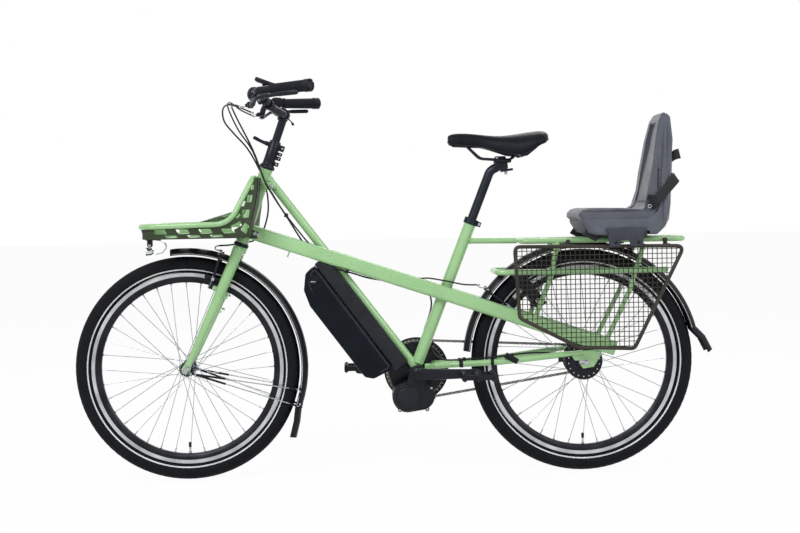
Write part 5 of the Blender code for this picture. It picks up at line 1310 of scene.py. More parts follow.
def makeTray():
    line = rounded(spots(((-728, 0, 750), (-470, 0, 755), (-404, 0, 886))), 70 * mm, 10)
    half = trayLook["half"] - trayLook["rail"]
    left = [Vector((p.x, -half * mm, p.z)) for p in line]
    right = [Vector((p.x, half * mm, p.z)) for p in reversed(line)]
    front = rounded([left[1], left[0], right[-1], right[-2]], trayLook["cornerRadius"] * mm, 8)[1:-1]
    top = rounded([left[-2], left[-1], right[0], right[1]], 30 * mm, 6)[1:-1]
    loop = [narrowed(p) for p in front[::-1] + left[1:-1] + top + right[1:-1]]
    rail = tube(loop, trayLook["rail"], 24, None, True)
    outer = [(p.x, p.z) for p in line] + [(a * mm, b * mm) for a, b in (
        (-389, 886), (-390, 846), (-396, 803), (-403, 766), (-406, 740), (-405, 726), (-414, 717),
        (-425, 714), (-716, 714))]
    walls = []
    thick = trayLook["sheet"]
    for side in (-1, 1):
        low, high = sorted((side * (half - thick) * mm, side * half * mm))
        wall = loft(bmesh.new(), [[Vector((x, y, z)) for x, z in outer] for y in (low, high)])
        splitCaps(wall)
        slices(wall, (0, 0, 1), range(764, 886, 12))
        slices(wall, (1, 0, 0), (-668, -680, -692, -702, -710))
        for vertex in wall.verts:
            vertex.co.y -= side * cornerDepth(vertex.co.x) * mm
            vertex.co = narrowed(vertex.co)
        walls.append(wall)
    under = [(-722, 714), (-430, 714), (-417, 722), (-412, 742), (-406, 766), (-396, 803), (-389, 846),
             (-388, 886), (-391.5, 886), (-392.6, 846), (-399.5, 803), (-409.4, 767), (-415.4, 743),
             (-420, 725.5), (-432, 717.4), (-722, 717.4)]
    floor = loft(bmesh.new(),
                 [[Vector((x * mm, y, z * mm)) for x, z in under] for y in (-half * mm, half * mm)])
    splitCaps(floor)
    slices(floor, (0, 0, 1), range(764, 886, 12))
    for vertex in floor.verts:
        vertex.co = narrowed(vertex.co)
        vertex.co.y *= 1 - cornerDepth(vertex.co.x) / half
    # A lip across the front under the floor, in the dark olive with painted shade
    lip = block((4, 2 * half - 76, 34), spot(-721, 0, 731), 1)
    for i, wall in enumerate(walls):
        wall = carve(wall, *trayWindows())
        # Inner faces get the green paint, outer faces the dark olive with its painted shade
        for face in wall.faces:
            face.material_index = 1 if face.normal.y * (1, -1)[i] > 0.5 else 0
        makePiece("trayWall" + "LR"[i], "frame", [], [(wall, [oliveSheetAndPaintedShade, greenPaint])])
    tails, steel, brackets = blank(3)
    for side in (-1, 1):
        shape = flatSpots(((-400, 845), (-400, 882), (-359, 873), (-343, 865), (-342, 857)))
        sidePlate(shape, side * 19.2, side * 22.2, 4, 0.8, brackets)
        bolt(Vector((-0.3545, side * 22.0 * mm, 0.8635)), across * side, 5.6, 3.2, steel)
        # Tail brackets under the tray, in the dark olive with painted shade
        shape = flatSpots(((-428, 742), (-406, 733), (-386, 724), (-389, 707), (-428, 712)))
        sidePlate(shape, side * 34.8, side * 37.6, 4, 0.8, tails)
        bolt(Vector((-0.3965, side * 37.4 * mm, 0.7205)), across * side, 5.4, 3.2, steel)
    slots = bmesh.new()
    for i in range(4):
        block((26, 210, 30), spot(-682 + i * 62, 0, 716), 0, slots)
    floor = carve(floor, slots, tube([onSteerer(-30), onSteerer(240)], 18.9, 40))
    # Top and front faces get the green paint; the underside, back and sides get the dark olive as painted
    # shade under the tray
    for face in floor.faces:
        face.material_index = 0 if face.normal.z > 0.5 or face.normal.x < -0.4 else 1
    makePiece("trayFloor", "frame", [],
              [(floor, [greenPaint, oliveSheetAndPaintedShade]), (lip, oliveSheetAndPaintedShade)])
    makePiece("trayRail", "frame", ["front_tray"],
              [(rail, brackets, greenPaint), (tails, oliveSheetAndPaintedShade), (steel, boltSteel)])


makeTray()


# Stem: clamp round the steerer, quick lever, sliding post and bar clamp
print("stem and handlebar")
stemLook = {
    "clampRadius": 17.0,
    "coneRadius": 22.4,
    "postRadius": 12.0,
    "leverTip": Vector((-0.404, 0, 1.006)),
}


def makeStemClamp():
    r, low = stemLook["clampRadius"], bike["headLength"] / mm + 0.6
    body = revolve([(low, 15.1), (low, 21.0), (low + 1.4, stemLook["coneRadius"]), (low + 5, 23),
                    (low + 9, 22), (low + 13, r + 1.6), (low + 16, r + 0.2), (low + 24, r), (312, r),
                    (314, r - 1.2), (314, 12.9), (low + 12, 12.9), (low + 12, 15.1)], headFoot, steerUp, 48,
                    True)
    rings, ears, bolts = blank(3)
    for along in (low + 17, low + 20.5):
        revolve([(-0.8, r - 0.4), (-0.5, r + 0.5), (0.5, r + 0.5), (0.8, r - 0.4)], onSteerer(along),
                steerUp, 48, True, rings)
    for along, depth, long in ((250, 20, 12), (268, 21, 12), (281, 21, 10), (299, 22, 18)):
        for side in (-1, 1):
            block((long, 5.6, 19), onSteerer(along, -depth, side * 3.9), 2.6, ears, steerUp)
        bolt(onSteerer(along, -depth - 3.4, -6.7), -across, 2.9 if along in (250, 299) else 2.2, 2.2, bolts)
        peg(onSteerer(along, -depth - 3.4, 6.4), onSteerer(along, -depth - 3.4, 9.0), 2.3, 0.5, 16, bolts)
    for side in (-1, 1):
        block((13, 4, 15), onSteerer(300, 19, side * 9), 1.4, ears, steerUp)
        bolt(onSteerer(300, 23, side * 11), across * side, 3.4, 1.8, ears)
    peg(onSteerer(300, 23, -11), onSteerer(300, 23, 11), 2.5, 0.3, 14, ears)
    makePiece("stemClampBody", "steering", ["stem_clamp"],
              [(body, blackPaint), (rings, blackAlloy), (ears, blackPaint), (bolts, boltSteel)])


def makeStemLever():
    hinge, tip = onSteerer(300, 23), stemLook["leverTip"]
    run = (tip - hinge).normalized()
    lift = run.cross(across)
    path = smooth([hinge, hinge + run * 14 * mm + lift * 1.2 * mm, tip - run * 12 * mm + lift * 0.6 * mm,
                   tip + run * 3 * mm], 5)
    sizes = [1.1, 1.08, 1.05, 1.0, 0.97, 0.95, 0.93, 0.92, 0.93, 0.95, 0.97, 1.0, 1.0, 0.98, 0.93, 0.8]
    paddle = sweep(path, softRectangle(12.4 * mm, 10.6 * mm, 3 * mm, 4), across, scale=sizes)
    barrel = revolve([(-6.5, 2.9), (-6.5, 5.6), (-5.9, 6.2), (5.9, 6.2), (6.5, 5.6), (6.5, 2.9)], hinge,
                     across, 28, True)
    ridge = sweep([hinge + run * 16 * mm + lift * 4.4 * mm, tip - run * 8 * mm + lift * 4.4 * mm],
                  softRectangle(5 * mm, 1.2 * mm, 0.5 * mm), across)
    makePiece("stemQuickLever", "clamp_lever", ["stem_lever"],
              [(paddle, barrel, blackAlloy), (ridge, blackPaint)], hinge)


def barPath(radius=26, steps=6):
    run = (gripEnd - gripStart).normalized()
    right = [barClamp + across * 32 * mm, Vector((-0.340, 0.072, 1.083)), Vector((-0.374, 0.150, 1.115)),
             gripStart - run * 50 * mm, gripEnd - run * 1.5 * mm]
    return rounded([mirrored(p) for p in reversed(right)] + right, radius * mm, steps)


gripStart, gripEnd = Vector((-0.334, 0.260, 1.124)), Vector((-0.223, 0.325, 1.128))


def makePost():
    top = (barClamp - headFoot).length / mm
    r = stemLook["postRadius"]
    post = revolve([(140, 0), (140, r - 0.8), (140.8, r), (top - 13, r), (top - 8, 0)], headFoot, steerUp,
                   40)
    marks = bmesh.new()
    for along in range(320, 366, 10):
        revolve([(-0.3, r - 0.2), (-0.3, r + 0.12), (0.3, r + 0.12), (0.3, r - 0.2)], onSteerer(along),
                steerUp, 40, True, marks)
    collar = revolve([(-19, 0), (-19, r - 1), (-17, r + 1.6), (-11, r + 3), (-9, r + 1), (-9, 0)], barClamp,
                     steerUp, 36)
    ring = pipe(*through(barClamp, 22), 17, 11.6, 44)
    cap, bolts = blank(2)
    for lift in (-1, 1):
        edge = barClamp + steerUp * lift * 15.2 * mm
        block((13, 43, 7.5), edge + steerFront * 6.5 * mm, 1.6, cap, steerFront)
        for side in (-1, 1):
            bolt(edge + steerFront * 13 * mm + across * side * 14 * mm, steerFront, 3.6, 2.6, bolts)
    makePiece("stemPostAndClamp", "cockpit", ["stem_post"],
              [(post, blackAlloy), (marks, blackPaint), (collar, ring, cap, blackAlloy),
               (bolts, boltSteel)], barClamp)
    bar = tube(barPath(), 11.1, 28, None, False, None, upward)
    makePiece("sweptHandlebar", "cockpit", ["handlebar"], [(bar, blackPaint)], barClamp)


# Grips: a palm-shaped rubber sleeve with fine rings, and a notched collar at each end
gripLook = {
    "radii": [(0, 16.4), (3, 17.2), (7, 17.2), (9, 15.2), (20, 15.0), (50, 15.6), (80, 16.2), (104, 16.4),
              (108, 16.2)],
    "wing": 3.6,
    "ringPitch": 5.4,
    "sleeve": 108.0,
    "collarRadius": 17.8,
    "inner": 11.6,
}


def makeGrip(side, name):
    start, end = (gripStart, gripEnd) if side > 0 else (mirrored(gripStart), mirrored(gripEnd))
    run = (end - start).normalized()
    back = (rearward - run * run.x).normalized()
    up = run.cross(back) * (1 if run.cross(back).z > 0 else -1)
    length = (end - start).length / mm
    sleeveEnd = gripLook["sleeve"]
    places, station = [], 0.0
    while station < sleeveEnd:
        places += [station, station + 0.9, station + 1.4, station + gripLook["ringPitch"] - 0.5]
        station += gripLook["ringPitch"]
    rings = []
    for k, place in enumerate(places):
        if place > sleeveEnd:
            break
        for (a, ra), (b, rb) in zip(gripLook["radii"], gripLook["radii"][1:]):
            if a <= place <= b:
                radius = ra + (rb - ra) * (place - a) / (b - a)
        groove = 0.55 if k % 4 in (1, 2) and 9 < place < 100 else 0.0
        palm = sin(pi * min(1, max(0, (place - 30) / 110))) * gripLook["wing"]
        rings.append([])
        for i in range(32):
            angle = 2 * pi * i / 32
            x, z = cos(angle) * (radius - groove), sin(angle) * (radius - groove)
            if cos(angle) > 0:
                x += palm * cos(angle) ** 2
                z *= 1 - 0.10 * palm / gripLook["wing"] * cos(angle) ** 2
            rings[-1].append(start + run * place * mm + back * x * mm + up * z * mm)
    sleeve = loft(bmesh.new(), rings)
    hollow = tube([start - run * 2 * mm, start + run * 112 * mm], gripLook["inner"], 32)
    sleeve = carve(sleeve, hollow)
    r = gripLook["collarRadius"]
    collar = revolve([(sleeveEnd + 0.4, gripLook["inner"]), (sleeveEnd + 0.4, r - 1), (sleeveEnd + 1.4, r),
                      (length - 1.5, r), (length, r - 1.4), (length, 11.9),
                      (length - 3, gripLook["inner"])], start, run, 40, True)
    notches = []
    for turn in (45, 135):
        notch = (back * cos(radians(turn)) + up * sin(radians(turn)))
        notches.append(block((9, 4.4, 50), end, 0, along=run, side=run.cross(notch)))
    collar = carve(collar, *notches)
    plug = peg(end - run * 5 * mm, end - run * 0.4 * mm, 11.2, 1.2, 28)
    screw = bolt(start + run * (length - 9) * mm + up * (r - 0.6) * mm, up, 2.4, 1.0)
    makePiece(name + "Grip", "cockpit", ["grip_" + name],
              [(sleeve, gripRubber), (collar, plug, blackPlastic), (screw, boltSteel)], start)


def makeShifter():
    run = (gripEnd - gripStart).normalized()
    start = gripStart - run * 32 * mm
    back = run.orthogonal().normalized()
    lift = run.cross(back)
    ribs = []
    for along, radius in ((0, 17.6), (1, 18.2), (5, 19.5), (7, 19.6), (22, 18.8), (24, 18.4), (28, 17.2),
                          (29, 16.2)):
        depth = 0.9 if 5 < along < 24 else 0.0
        ribs.append([start + run * along * mm
                     + (back * cos(a) + lift * sin(a)) * mm * (radius - (depth if i % 4 < 2 else 0))
                     for i, a in enumerate(2 * pi * n / 96 for n in range(96))])
    sleeve = carve(loft(bmesh.new(), ribs), tube([start - run * 2 * mm, start + run * 33 * mm], 11.6, 32))
    makePiece("gearTwistGrip", "shifter", ["twist_shifter"], [(sleeve, gripRubber)], start)


# Brake levers on their brackets
leverLook = {
    "bandRadius": 15.0,
    "bladeWide": 10.5,
    "bladeThick": 7.6,
}


def makeBrakeControl(side, name):
    centre = Vector((-0.3752, side * 0.183, 1.118))
    run = Vector((-3, side * 85, 7.5)).normalized()
    pivot = Vector((-0.396, side * 0.232, 1.084))
    axis = upward * -side
    outward = across * side
    band = pipe(*through(centre, 7, run), leverLook["bandRadius"], 11.6, 40)
    middle = Vector((-0.393, side * 0.196, 1.090))
    arm = sweep(smooth([centre + spot(-6, 0, -8), (centre + middle) / 2 + spot(-4, side * 2, 0), middle,
                        middle + spot(-2, side * 15, -3)], 5), softRectangle(17 * mm, 14 * mm, 3.5 * mm, 4),
                        rearward)
    ears = bmesh.new()
    inward = (-outward).normalized()
    steel, silver = blank(2)
    for end in (-1, 1):
        peg(pivot + axis * end * 5.2 * mm, pivot + axis * end * 8.4 * mm, 8, 0.8, 28, ears)
        block((24, 15, 3), pivot + axis * end * 6.8 * mm + inward * 12 * mm, 0.6, ears, inward, rearward)
    bolt(pivot + axis * 8.3 * mm, axis, 3.8, 1.8, steel)
    bolt(pivot - axis * 8.3 * mm, -axis, 3.8, 1.8, steel)
    peg(*through(pivot, 8, axis), 2.5, 0.3, 12, steel)
    bolt(centre + spot(14, 0, -5), Vector((0.3, 0, -0.95)), 3.2, 3, steel)
    block((11, 12, 9), centre + spot(12.5, 0, 2), 1.5, ears, rearward, run)
    noseDown = (Vector((-0.414, side * 0.196, 1.084)) - middle).normalized()
    barrel = revolve([(0, 0), (0, 5.2), (8, 5.2), (9, 6.2), (15, 6.2), (16, 5.0), (20, 4.6), (20, 0)],
                     middle, noseDown, 24)
    first = noseDown.orthogonal().normalized()
    for k in range(12):
        turn = radians(30 * k)
        out = first * cos(turn) + noseDown.cross(first) * sin(turn)
        block((5, 1.1, 1.0), middle + noseDown * 12 * mm + out * 6.3 * mm, 0.2, ears, noseDown,
              noseDown.cross(out))
    peg(middle + noseDown * 19 * mm, middle + noseDown * 26.5 * mm, 3.6, 0.6, 20, silver)
    makePiece(name + "BrakeBracket", "cockpit", ["brake_bracket_" + name],
              [(band, arm, ears, blackAlloy), (barrel, blackPlastic), (steel, boltSteel),
               (silver, polishedAlloy)], centre)

    blade = [pivot, pivot + Vector((5 * mm, side * 17 * mm, 0)), Vector((-0.374, side * 0.284, 1.099)),
             Vector((-0.312, side * 0.330, 1.104)), Vector((-0.262, side * 0.358, 1.106))]
    path = rounded(blade, 30 * mm, 7)
    grow = [1.15 - 0.25 * sin(pi * i / (len(path) - 1)) for i in range(len(path))]
    section = softRectangle(leverLook["bladeWide"] * mm, leverLook["bladeThick"] * mm, 2.6 * mm, 4)
    lever = sweep(path, section, axis, scale=grow)
    hub = revolve([(-4.7, 2.9), (-4.7, 6.6), (-4.2, 7.1), (4.2, 7.1), (4.7, 6.6), (4.7, 2.9)], pivot, axis,
                  28, True)
    tip, tipRun = path[-1], (path[-1] - path[-3]).normalized()
    ball = revolve([(-6, 0), (-5.6, 2.4), (-3.6, 4.6), (0, 5.4), (3.6, 4.4), (5.2, 2.2), (5.6, 0)], tip,
                   tipRun, 20)
    screw = bolt(pivot + outward * 12 * mm + rearward * 1.5 * mm - axis * 3.6 * mm, -axis, 2.0, 1.4)
    makePiece(name + "BrakeLever", name + "_lever", ["brake_lever_" + name],
              [(lever, hub, ball, blackAlloy), (screw, boltSteel)], pivot)


def makeBell():
    centre = Vector((-0.391, -0.128, 1.122))
    face = Vector((-0.94, -0.1, 0.25)).normalized()
    dome = revolve([(-0.6, 0), (-0.6, 19.4), (0.2, 20.6), (1.4, 20.9), (3.4, 20.9), (8, 20.2), (12, 18.4),
                    (15.6, 15.2), (18.6, 10.8), (20.4, 5.6), (21, 0)], centre, face, 48)
    seam = revolve([(2.0, 20.7), (2.2, 21.2), (3.0, 21.2), (3.2, 20.7)], centre, face, 48, True)
    button = revolve([(20.2, 0), (20.2, 4), (21.6, 3.6), (22, 0)], centre, face, 24)
    foot = block((22, 12, 10), Vector((-0.383, -0.128, 1.113)), 2)
    band = Vector((-0.3644, -0.128, 1.106))
    run = Vector((34, 78, -32)).normalized()
    strap = pipe(*through(band, 6, run), 14, 11.6, 36)
    thumb = sweep(smooth([Vector((-0.383, -0.122, 1.104)), Vector((-0.380, -0.104, 1.098)),
                          Vector((-0.372, -0.092, 1.099))], 5), softRectangle(7 * mm, 3 * mm, 1.2 * mm),
                          upward)
    makePiece("domeBell", "cockpit", ["bell"],
              [(dome, blackPaint), (seam, blackAlloy), (button, boltSteel),
               (foot, strap, thumb, blackPlastic)], centre)


def makeDisplay():
    band = Vector((-0.3522, -0.100, 1.0945))
    run = Vector((34, 78, -32)).normalized()
    tilt = Vector((0.93, 0, -0.36)).normalized()
    normal = tilt.cross(across)
    centre = Vector((-0.362, -0.100, 1.157))
    clamp = pipe(*through(band, 7, run), 15, 11.6, 36)
    shell = block((58, 46, 11.5), centre, 3, along=tilt)
    glass = block((50, 39, 0.7), centre + normal * 5.8 * mm, 0.3, along=tilt)
    segments = bmesh.new()
    for i in range(4):
        block((1.4, 4.5, 0.3), centre + normal * 6.2 * mm + tilt * (9 - 6 * i) * mm + across * (6 - i) * mm,
              0, segments, tilt)
    buttons = bmesh.new()
    for i in (-1, 0, 1):
        foot = centre + tilt * 26 * mm + across * i * 13 * mm
        peg(foot + normal * 5 * mm, foot + normal * 7 * mm, 3.2, 0.6, 20, buttons)
    stalk = sweep(smooth([Vector((-0.358, -0.100, 1.106)), Vector((-0.360, -0.100, 1.128)),
                          centre - normal * 4 * mm], 5), softRectangle(15 * mm, 12 * mm, 3 * mm), rearward)
    route = [barClamp + spot(*p) for p in ((8, -8, -10), (17, -9, -16), (24, -9, -25))]
    lead = tube(smooth(route, 5), 1.7, 12)
    plug = revolve([(-5, 0), (-4, 3), (0, 4.2), (4, 3), (5, 0)], barClamp + spot(25, -9, -27),
                   Vector((0.5, 0, -0.86)), 18)
    makePiece("smallDisplay", "cockpit", ["display"],
              [(clamp, shell, blackPlastic), (glass, batteryPlastic), (segments, railPlastic),
               (buttons, stalk, blackPlastic), (lead, cableSkin), (plug, blackPlastic)], band)


makeStemClamp()
makeStemLever()
makePost()
for side, name in bothSides:
    makeGrip(side, name)
    makeBrakeControl(side, name)
makeShifter()
makeBell()
makeDisplay()


# Seatpost and saddle
print("saddle")
saddleLook = {
    "postRadius": 13.6,
    "railRadius": 3.5,
    "pipingRadius": 1.5,
    "crownSteps": 26,
    "stations": [
        (165, 9, 997, 987, 984), (170, 18, 1003, 982, 980), (188, 22, 1007, 977, 976),
        (218, 24, 1007, 975, 972), (250, 27, 1004, 973, 969), (285, 34, 1000, 971, 961),
        (318, 47, 998, 971, 951), (348, 64, 1000, 971, 943), (378, 79, 1004, 972, 944),
        (408, 87, 1008, 973, 957), (430, 86, 1010, 976, 969), (448, 72, 1008, 982, 979),
        (458, 46, 1001, 987, 985),
    ],
}


def makeSeatPost():
    path = rounded([seatFoot + seatUp * 205 * mm, seatTop + seatUp * 155 * mm, Vector((0.315, 0, 0.909))],
                   30 * mm, 12)
    post = tube(path, saddleLook["postRadius"], 40, None, False, None, across)
    head = peg(*through(saddlePivot, 13), 11, 1.2, 36)
    axle = peg(*through(saddlePivot, 22), 4, 0.5, 18)
    for side in (-1, 1):
        bolt(saddlePivot + across * side * 20 * mm, across * side, 6.5, 4, axle)
    makePiece("seatPost", "post", ["seatpost"],
              [(post, head, blackAlloy), (axle, blackPaint)])


def makeRails():
    rails, clamps, steel = blank(3)
    for side in (-1, 1):
        route = [(222, 9, 968), (259, 19, 932), (350, 20, 925), (374, 31, 957), (426, 36, 971)]
        path = rounded([spot(x, side * y, z) for x, y, z in route], 30 * mm, 8)
        tube(path, saddleLook["railRadius"], 16, rails)
        cheek = [(301, 928), (303, 905), (312, 897), (331, 895), (341, 903), (338, 930), (328, 938),
                 (311, 938)]
        sidePlate(flatSpots(cheek), side * 15.5, side * 19.5, 6, 0.8, clamps)
        peg(spot(307, side * 19.6, 925), spot(350, side * 19.8, 925), 6.2, 1, 20, clamps)
        block((12, 14, 10), spot(424, side * 35, 969), 2, clamps)
        shell = [(362, 946), (376, 934), (394, 937), (421, 958), (436, 974), (420, 976), (396, 962)]
        sidePlate(flatSpots(shell), side * 42, side * 62, 5, 3, clamps)
        bolt(spot(308, side * 19.4, 933), across * side, 3.6, 2.6, steel)
    block((30, 38, 5), spot(319, 0, 935.5), 1.2, clamps)
    block((36, 30, 7), spot(338, 0, 897), 2, clamps, Vector((1, 0, 0.14)))
    peg(spot(336, 0, 884), spot(336, 0, 901), 4.4, 0.8, 18, steel)
    block((70, 24, 9), spot(212, 0, 970), 3, clamps, Vector((1, 0, -0.06)))
    makePiece("saddleRails", "saddle", ["saddle_rails"],
              [(rails, blackAlloy), (clamps, blackPaint), (steel, boltSteel)])


def saddleRow(x, half, top, low):
    row, steps = [], saddleLook["crownSteps"]
    for i in range(steps + 1):
        angle = pi * i / steps
        y = half * (1 if cos(angle) > 0 else -1) * abs(cos(angle)) ** 0.75
        row.append(Vector((x, y, low + (top - low) * max(0.0, sin(angle)) ** 0.8)) * mm)
    return row


def makeSaddle():
    fine = smooth(saddleLook["stations"], 5)
    rings, edges = [], ([], [])
    for x, half, top, belly, low in fine:
        ring = saddleRow(x, half, top, low)
        for y, z in ((-0.96, low - 1.4), (-0.88, low + 0.5), (-0.80, belly - 3), (-0.60, belly),
                     (0.60, belly), (0.80, belly - 3), (0.88, low + 0.5), (0.96, low - 1.4)):
            ring.append(spot(x, half * y, z))
        rings.append(ring)
        for k, side in enumerate((-1, 1)):
            edges[k].append(spot(x, side * half * 0.955, low - 1.2))
    cushion = loft(bmesh.new(), rings)
    for cap in [f for f in cushion.faces if len(f.verts) > 4]:
        bmesh.ops.poke(cushion, faces=[cap])
    cover = makePiece("saddleCover", "saddle", ["saddle_cushion"], [(cushion, saddleVinyl)],
                      angle=70, subdivide=1)
    piping = tube(edges[0] + edges[1][::-1], saddleLook["pipingRadius"], 10, None, True)
    base = []
    for x, half, top, belly, low in fine[3:-3]:
        base.append([spot(x, half * y, z) for y, z in (
            (-0.90, low + 1), (-0.84, low - 2.2), (-0.55, belly - 9), (0.55, belly - 9), (0.84, low - 2.2),
            (0.90, low + 1), (0.5, belly + 2), (-0.5, belly + 2))])
    pan = loft(bmesh.new(), base)
    makePiece("saddlePan", "saddle", [], [(piping, pan, blackPlastic)], angle=40)


makeSeatPost()
makeRails()
makeSaddle()


# Child seat: a dark shell, a lighter moulded lining, a back cover, its mount and its strap
print("child seat")
childLook = {
    "half": 150.0,
    "liningHalf": 143.0,
    "shell": [
        (540, 752), (728, 750), (756, 768), (772, 835), (777, 882), (789, 976), (797, 1046), (803, 1056),
        (813, 1043), (815, 976), (810, 928), (800, 880), (794, 826), (788, 762), (779, 728), (756, 702),
        (580, 702), (560, 708), (540, 738),
    ],
    "lining": [(528, 755), (530, 767), (541, 777), (560, 781), (650, 780), (714, 776), (731, 787),
               (743, 832), (749, 886), (764, 977), (777, 1034), (787, 1052), (798, 1058), (805, 1050),
               (800, 1030), (793, 976), (782, 882), (775, 835), (764, 784), (746, 756), (728, 743),
               (556, 743), (536, 748)],
    "cover": [
        (762, 703), (783, 722), (795, 744), (802, 790), (807, 840), (812, 886), (815, 930), (810, 934),
        (802, 884), (795, 826), (789, 770), (780, 730), (760, 707),
    ],
    "strapWidth": 29.0,
    "strapThickness": 2.2,
}


def seatWidth(z):
    levels = [(0, 0.94), (762, 0.94), (800, 0.86), (835, 0.76), (885, 0.68), (975, 0.57), (1031, 0.46),
              (1044, 0.41), (1060, 0.33)]
    for (a, first), (b, second) in zip(levels, levels[1:]):
        if z <= b * mm:
            t = (z / mm - a) / (b - a)
            return first + (second - first) * t
    return levels[-1][1]


def seatForm(outline, half, radius, bevel, steps=3, columns=9):
    shape = rounded(flatSpots(outline), radius * mm, 4, True)
    sides = [-half + bevel * (1 - cos(pi / 2 * i / steps)) for i in range(steps + 1)]
    sides += [(-half + bevel) + 2 * (half - bevel) * i / columns for i in range(1, columns)]
    sides += [-s for s in sides[steps::-1]]
    normals = []
    for i in range(len(shape)):
        along = (shape[(i + 1) % len(shape)] - shape[i - 1]).normalized()
        normals.append(Vector((along.y, -along.x, 0)))
    area = sum(a.x * b.y - b.x * a.y for a, b in zip(shape, shape[1:] + shape[:1]))
    turn = 1 if area > 0 else -1
    rows = []
    for y in sides:
        depth = max(0.0, abs(y) - (half - bevel)) / bevel
        inset = bevel * (1 - sqrt(max(0.0, 1 - depth ** 2)))
        rows.append([Vector((p.x - n.x * turn * inset * mm, y * mm, p.y - n.y * turn * inset * mm)) for p,
                     n in zip(shape, normals)])
    bm = loft(bmesh.new(), rows)
    splitCaps(bm, ngon_method="EAR_CLIP")
    for vertex in bm.verts:
        front = min(1.0, max(0.0, (0.612 - vertex.co.x) / 0.084)) if vertex.co.z < 0.79 else 0.0
        vertex.co.y *= seatWidth(vertex.co.z) * (1 - 0.30 * front ** 2.2)
    return bm


def makeChildSeat():
    notch = block((114, 330, 26), spot(676, 0, 699.6), 3)
    shell = carve(seatForm(childLook["shell"], childLook["half"], 9, 7), notch)
    makePiece("childSeatShell", "frame", ["child_seat_shell"], [(shell, seatPlastic)],
              angle=38)
    bucket = [(572, 770), (706, 769), (730, 780), (741, 800), (756, 870), (777, 960), (789, 1026),
              (730, 1036), (620, 850), (566, 850)]
    hollow = sidePlate(flatSpots(bucket), -84, 84, 10, 3, segments=3)
    for vertex in hollow.verts:
        vertex.co.y *= seatWidth(vertex.co.z) / seatWidth(0)
    cutters = [hollow]
    eyelet = [(0.7682 + a, 0.887 + b) for a, b in circle(4.6 * mm, 20)]
    for side in (-1, 1):
        low, high = sorted((side * 94 * mm, side * 160 * mm))
        cutters.append(plate(capsule((0.7625, 0.836), (0.7675, 0.882), 1.9 * mm, 1.9 * mm, 6), low, high))
        cutters.append(plate(eyelet, low, high))
    lining = carve(seatForm(childLook["lining"], childLook["liningHalf"], 5, 5, 4), *cutters)
    bmesh.ops.recalc_face_normals(lining, faces=lining.faces)
    for face in lining.faces:
        centre = face.calc_center_median()
        outside = abs(face.normal.y) > 0.72 and abs(centre.y) > 0.088 * seatWidth(centre.z)
        face.material_index = 1 if outside else 0
    pad = makePiece("childSeatLining", "frame", [], [(lining, [seatFoam, seatPlastic])],
                    angle=42)
    cover = seatForm(childLook["cover"], 122, 3, 3)
    makePiece("childSeatBackCover", "frame", [], [(cover, seatBack)], angle=38)


def makeSeatMount():
    base, legs, steel = blank(3)
    block((110, 272, 16), spot(672, 0, 704.2), 2.5, base)
    for side in (-1, 1):
        web = [(612, 702), (615, 709), (606, 714), (606, 723), (724, 723), (724, 714), (717, 709),
               (715, 700), (712, 669), (676, 669), (674, 687), (650, 687), (647, 669), (616, 669)]
        sidePlate(flatSpots(web), side * 136, side * 143.6, 4, 1.6, legs)
        for x in (634, 700):
            bolt(spot(x, side * 142.6, 680), across * side, 4.4, 2.4, steel)
    makePiece("childSeatMount", "frame", ["child_seat_mount"],
              [(base, legs, charcoalMountAndSeamHighlight), (steel, blackPaint)])


def makeHarness():
    loop = rounded(spots(((744, -138, 788), (818, -118, 866), (818, 118, 866), (744, 138, 788))), 14 * mm,
                   8, True)
    flat = softRectangle(childLook["strapWidth"] * mm, childLook["strapThickness"] * mm, 0.9 * mm, 2)
    strap = sweep(loop, flat, Vector((-0.57, 0, 0.82)), True)
    tail = smooth(spots(((812, -20, 912), (813, -62, 922), (819, -86, 930), (832, -94, 934))), 6)
    sweep(tail, flat, upward, False, None, strap)
    flap = flatSpots(((541, 704), (553, 721), (601, 703), (580, 684)))
    for y in (-118, 115):
        sidePlate(flap, y, y + 2.6, 2, 0.8, strap, 3)
    buckle, ring = blank(2)
    block((24, 6, 27), spot(744, -139, 790), 2, buckle, Vector((0.6, 0, 0.8)))
    block((14, 5, 24), spot(739, -137, 808), 2, buckle, Vector((0.2, 0, 1)))
    hoop = [spot(733 + a, -141.5, 783 + b) for a, b in circle(4.6, 18)]
    tube(hoop, 1.3, 8, ring, True)
    makePiece("childSeatStrap", "frame", ["child_seat_harness"],
              [(strap, webbing), (buckle, blackPlastic), (ring, boltSteel)], angle=50)


makeChildSeat()
makeSeatMount()
makeHarness()


# Mudguards
print("mudguards")
guardLook = {
    "middleRadius": 350.0,  # the section is drawn about this circle
    "outerRadius": 355.0,
    "edgeRadius": 338.0,
    "half": 27.0,
    "sheet": 2.0,
    "stayRadius": 1.8,
    "sleeveRadius": 3.2,
}


def guardSection():
    outer, inner, middle = [], [], guardLook["middleRadius"]
    half, rise = guardLook["half"], guardLook["outerRadius"] - guardLook["edgeRadius"]
    for i in range(17):
        t = -1 + i / 8
        height = guardLook["outerRadius"] - rise * abs(t) ** 3.2 - 0.6 * abs(t)
        outer.append((-half * t * mm, (height - middle) * mm))
        inner.append((-(half - guardLook["sheet"]) * t * mm, (height - guardLook["sheet"] - middle) * mm))
    edge = (guardLook["edgeRadius"] - 1.2 - middle) * mm
    lip = [(half * mm, edge), ((half - 1.8) * mm, edge)]
    return outer + [(-a, b) for a, b in lip] + inner[::-1] + lip[::-1]


def guardArch(hub, start, end, flap, steps):
    path = [roundWheel(hub, start + (end - start) * i / steps, guardLook["middleRadius"] * mm)
            for i in range(steps + 1)]
    turn = 1 if end < start else -1
    last = path[-1]
    path += [last.lerp(spot(*flap[0]), 0.5)] + spots(flap)
    section = [(a, b * turn) for a, b in guardSection()]
    return sweep(path, section, across)


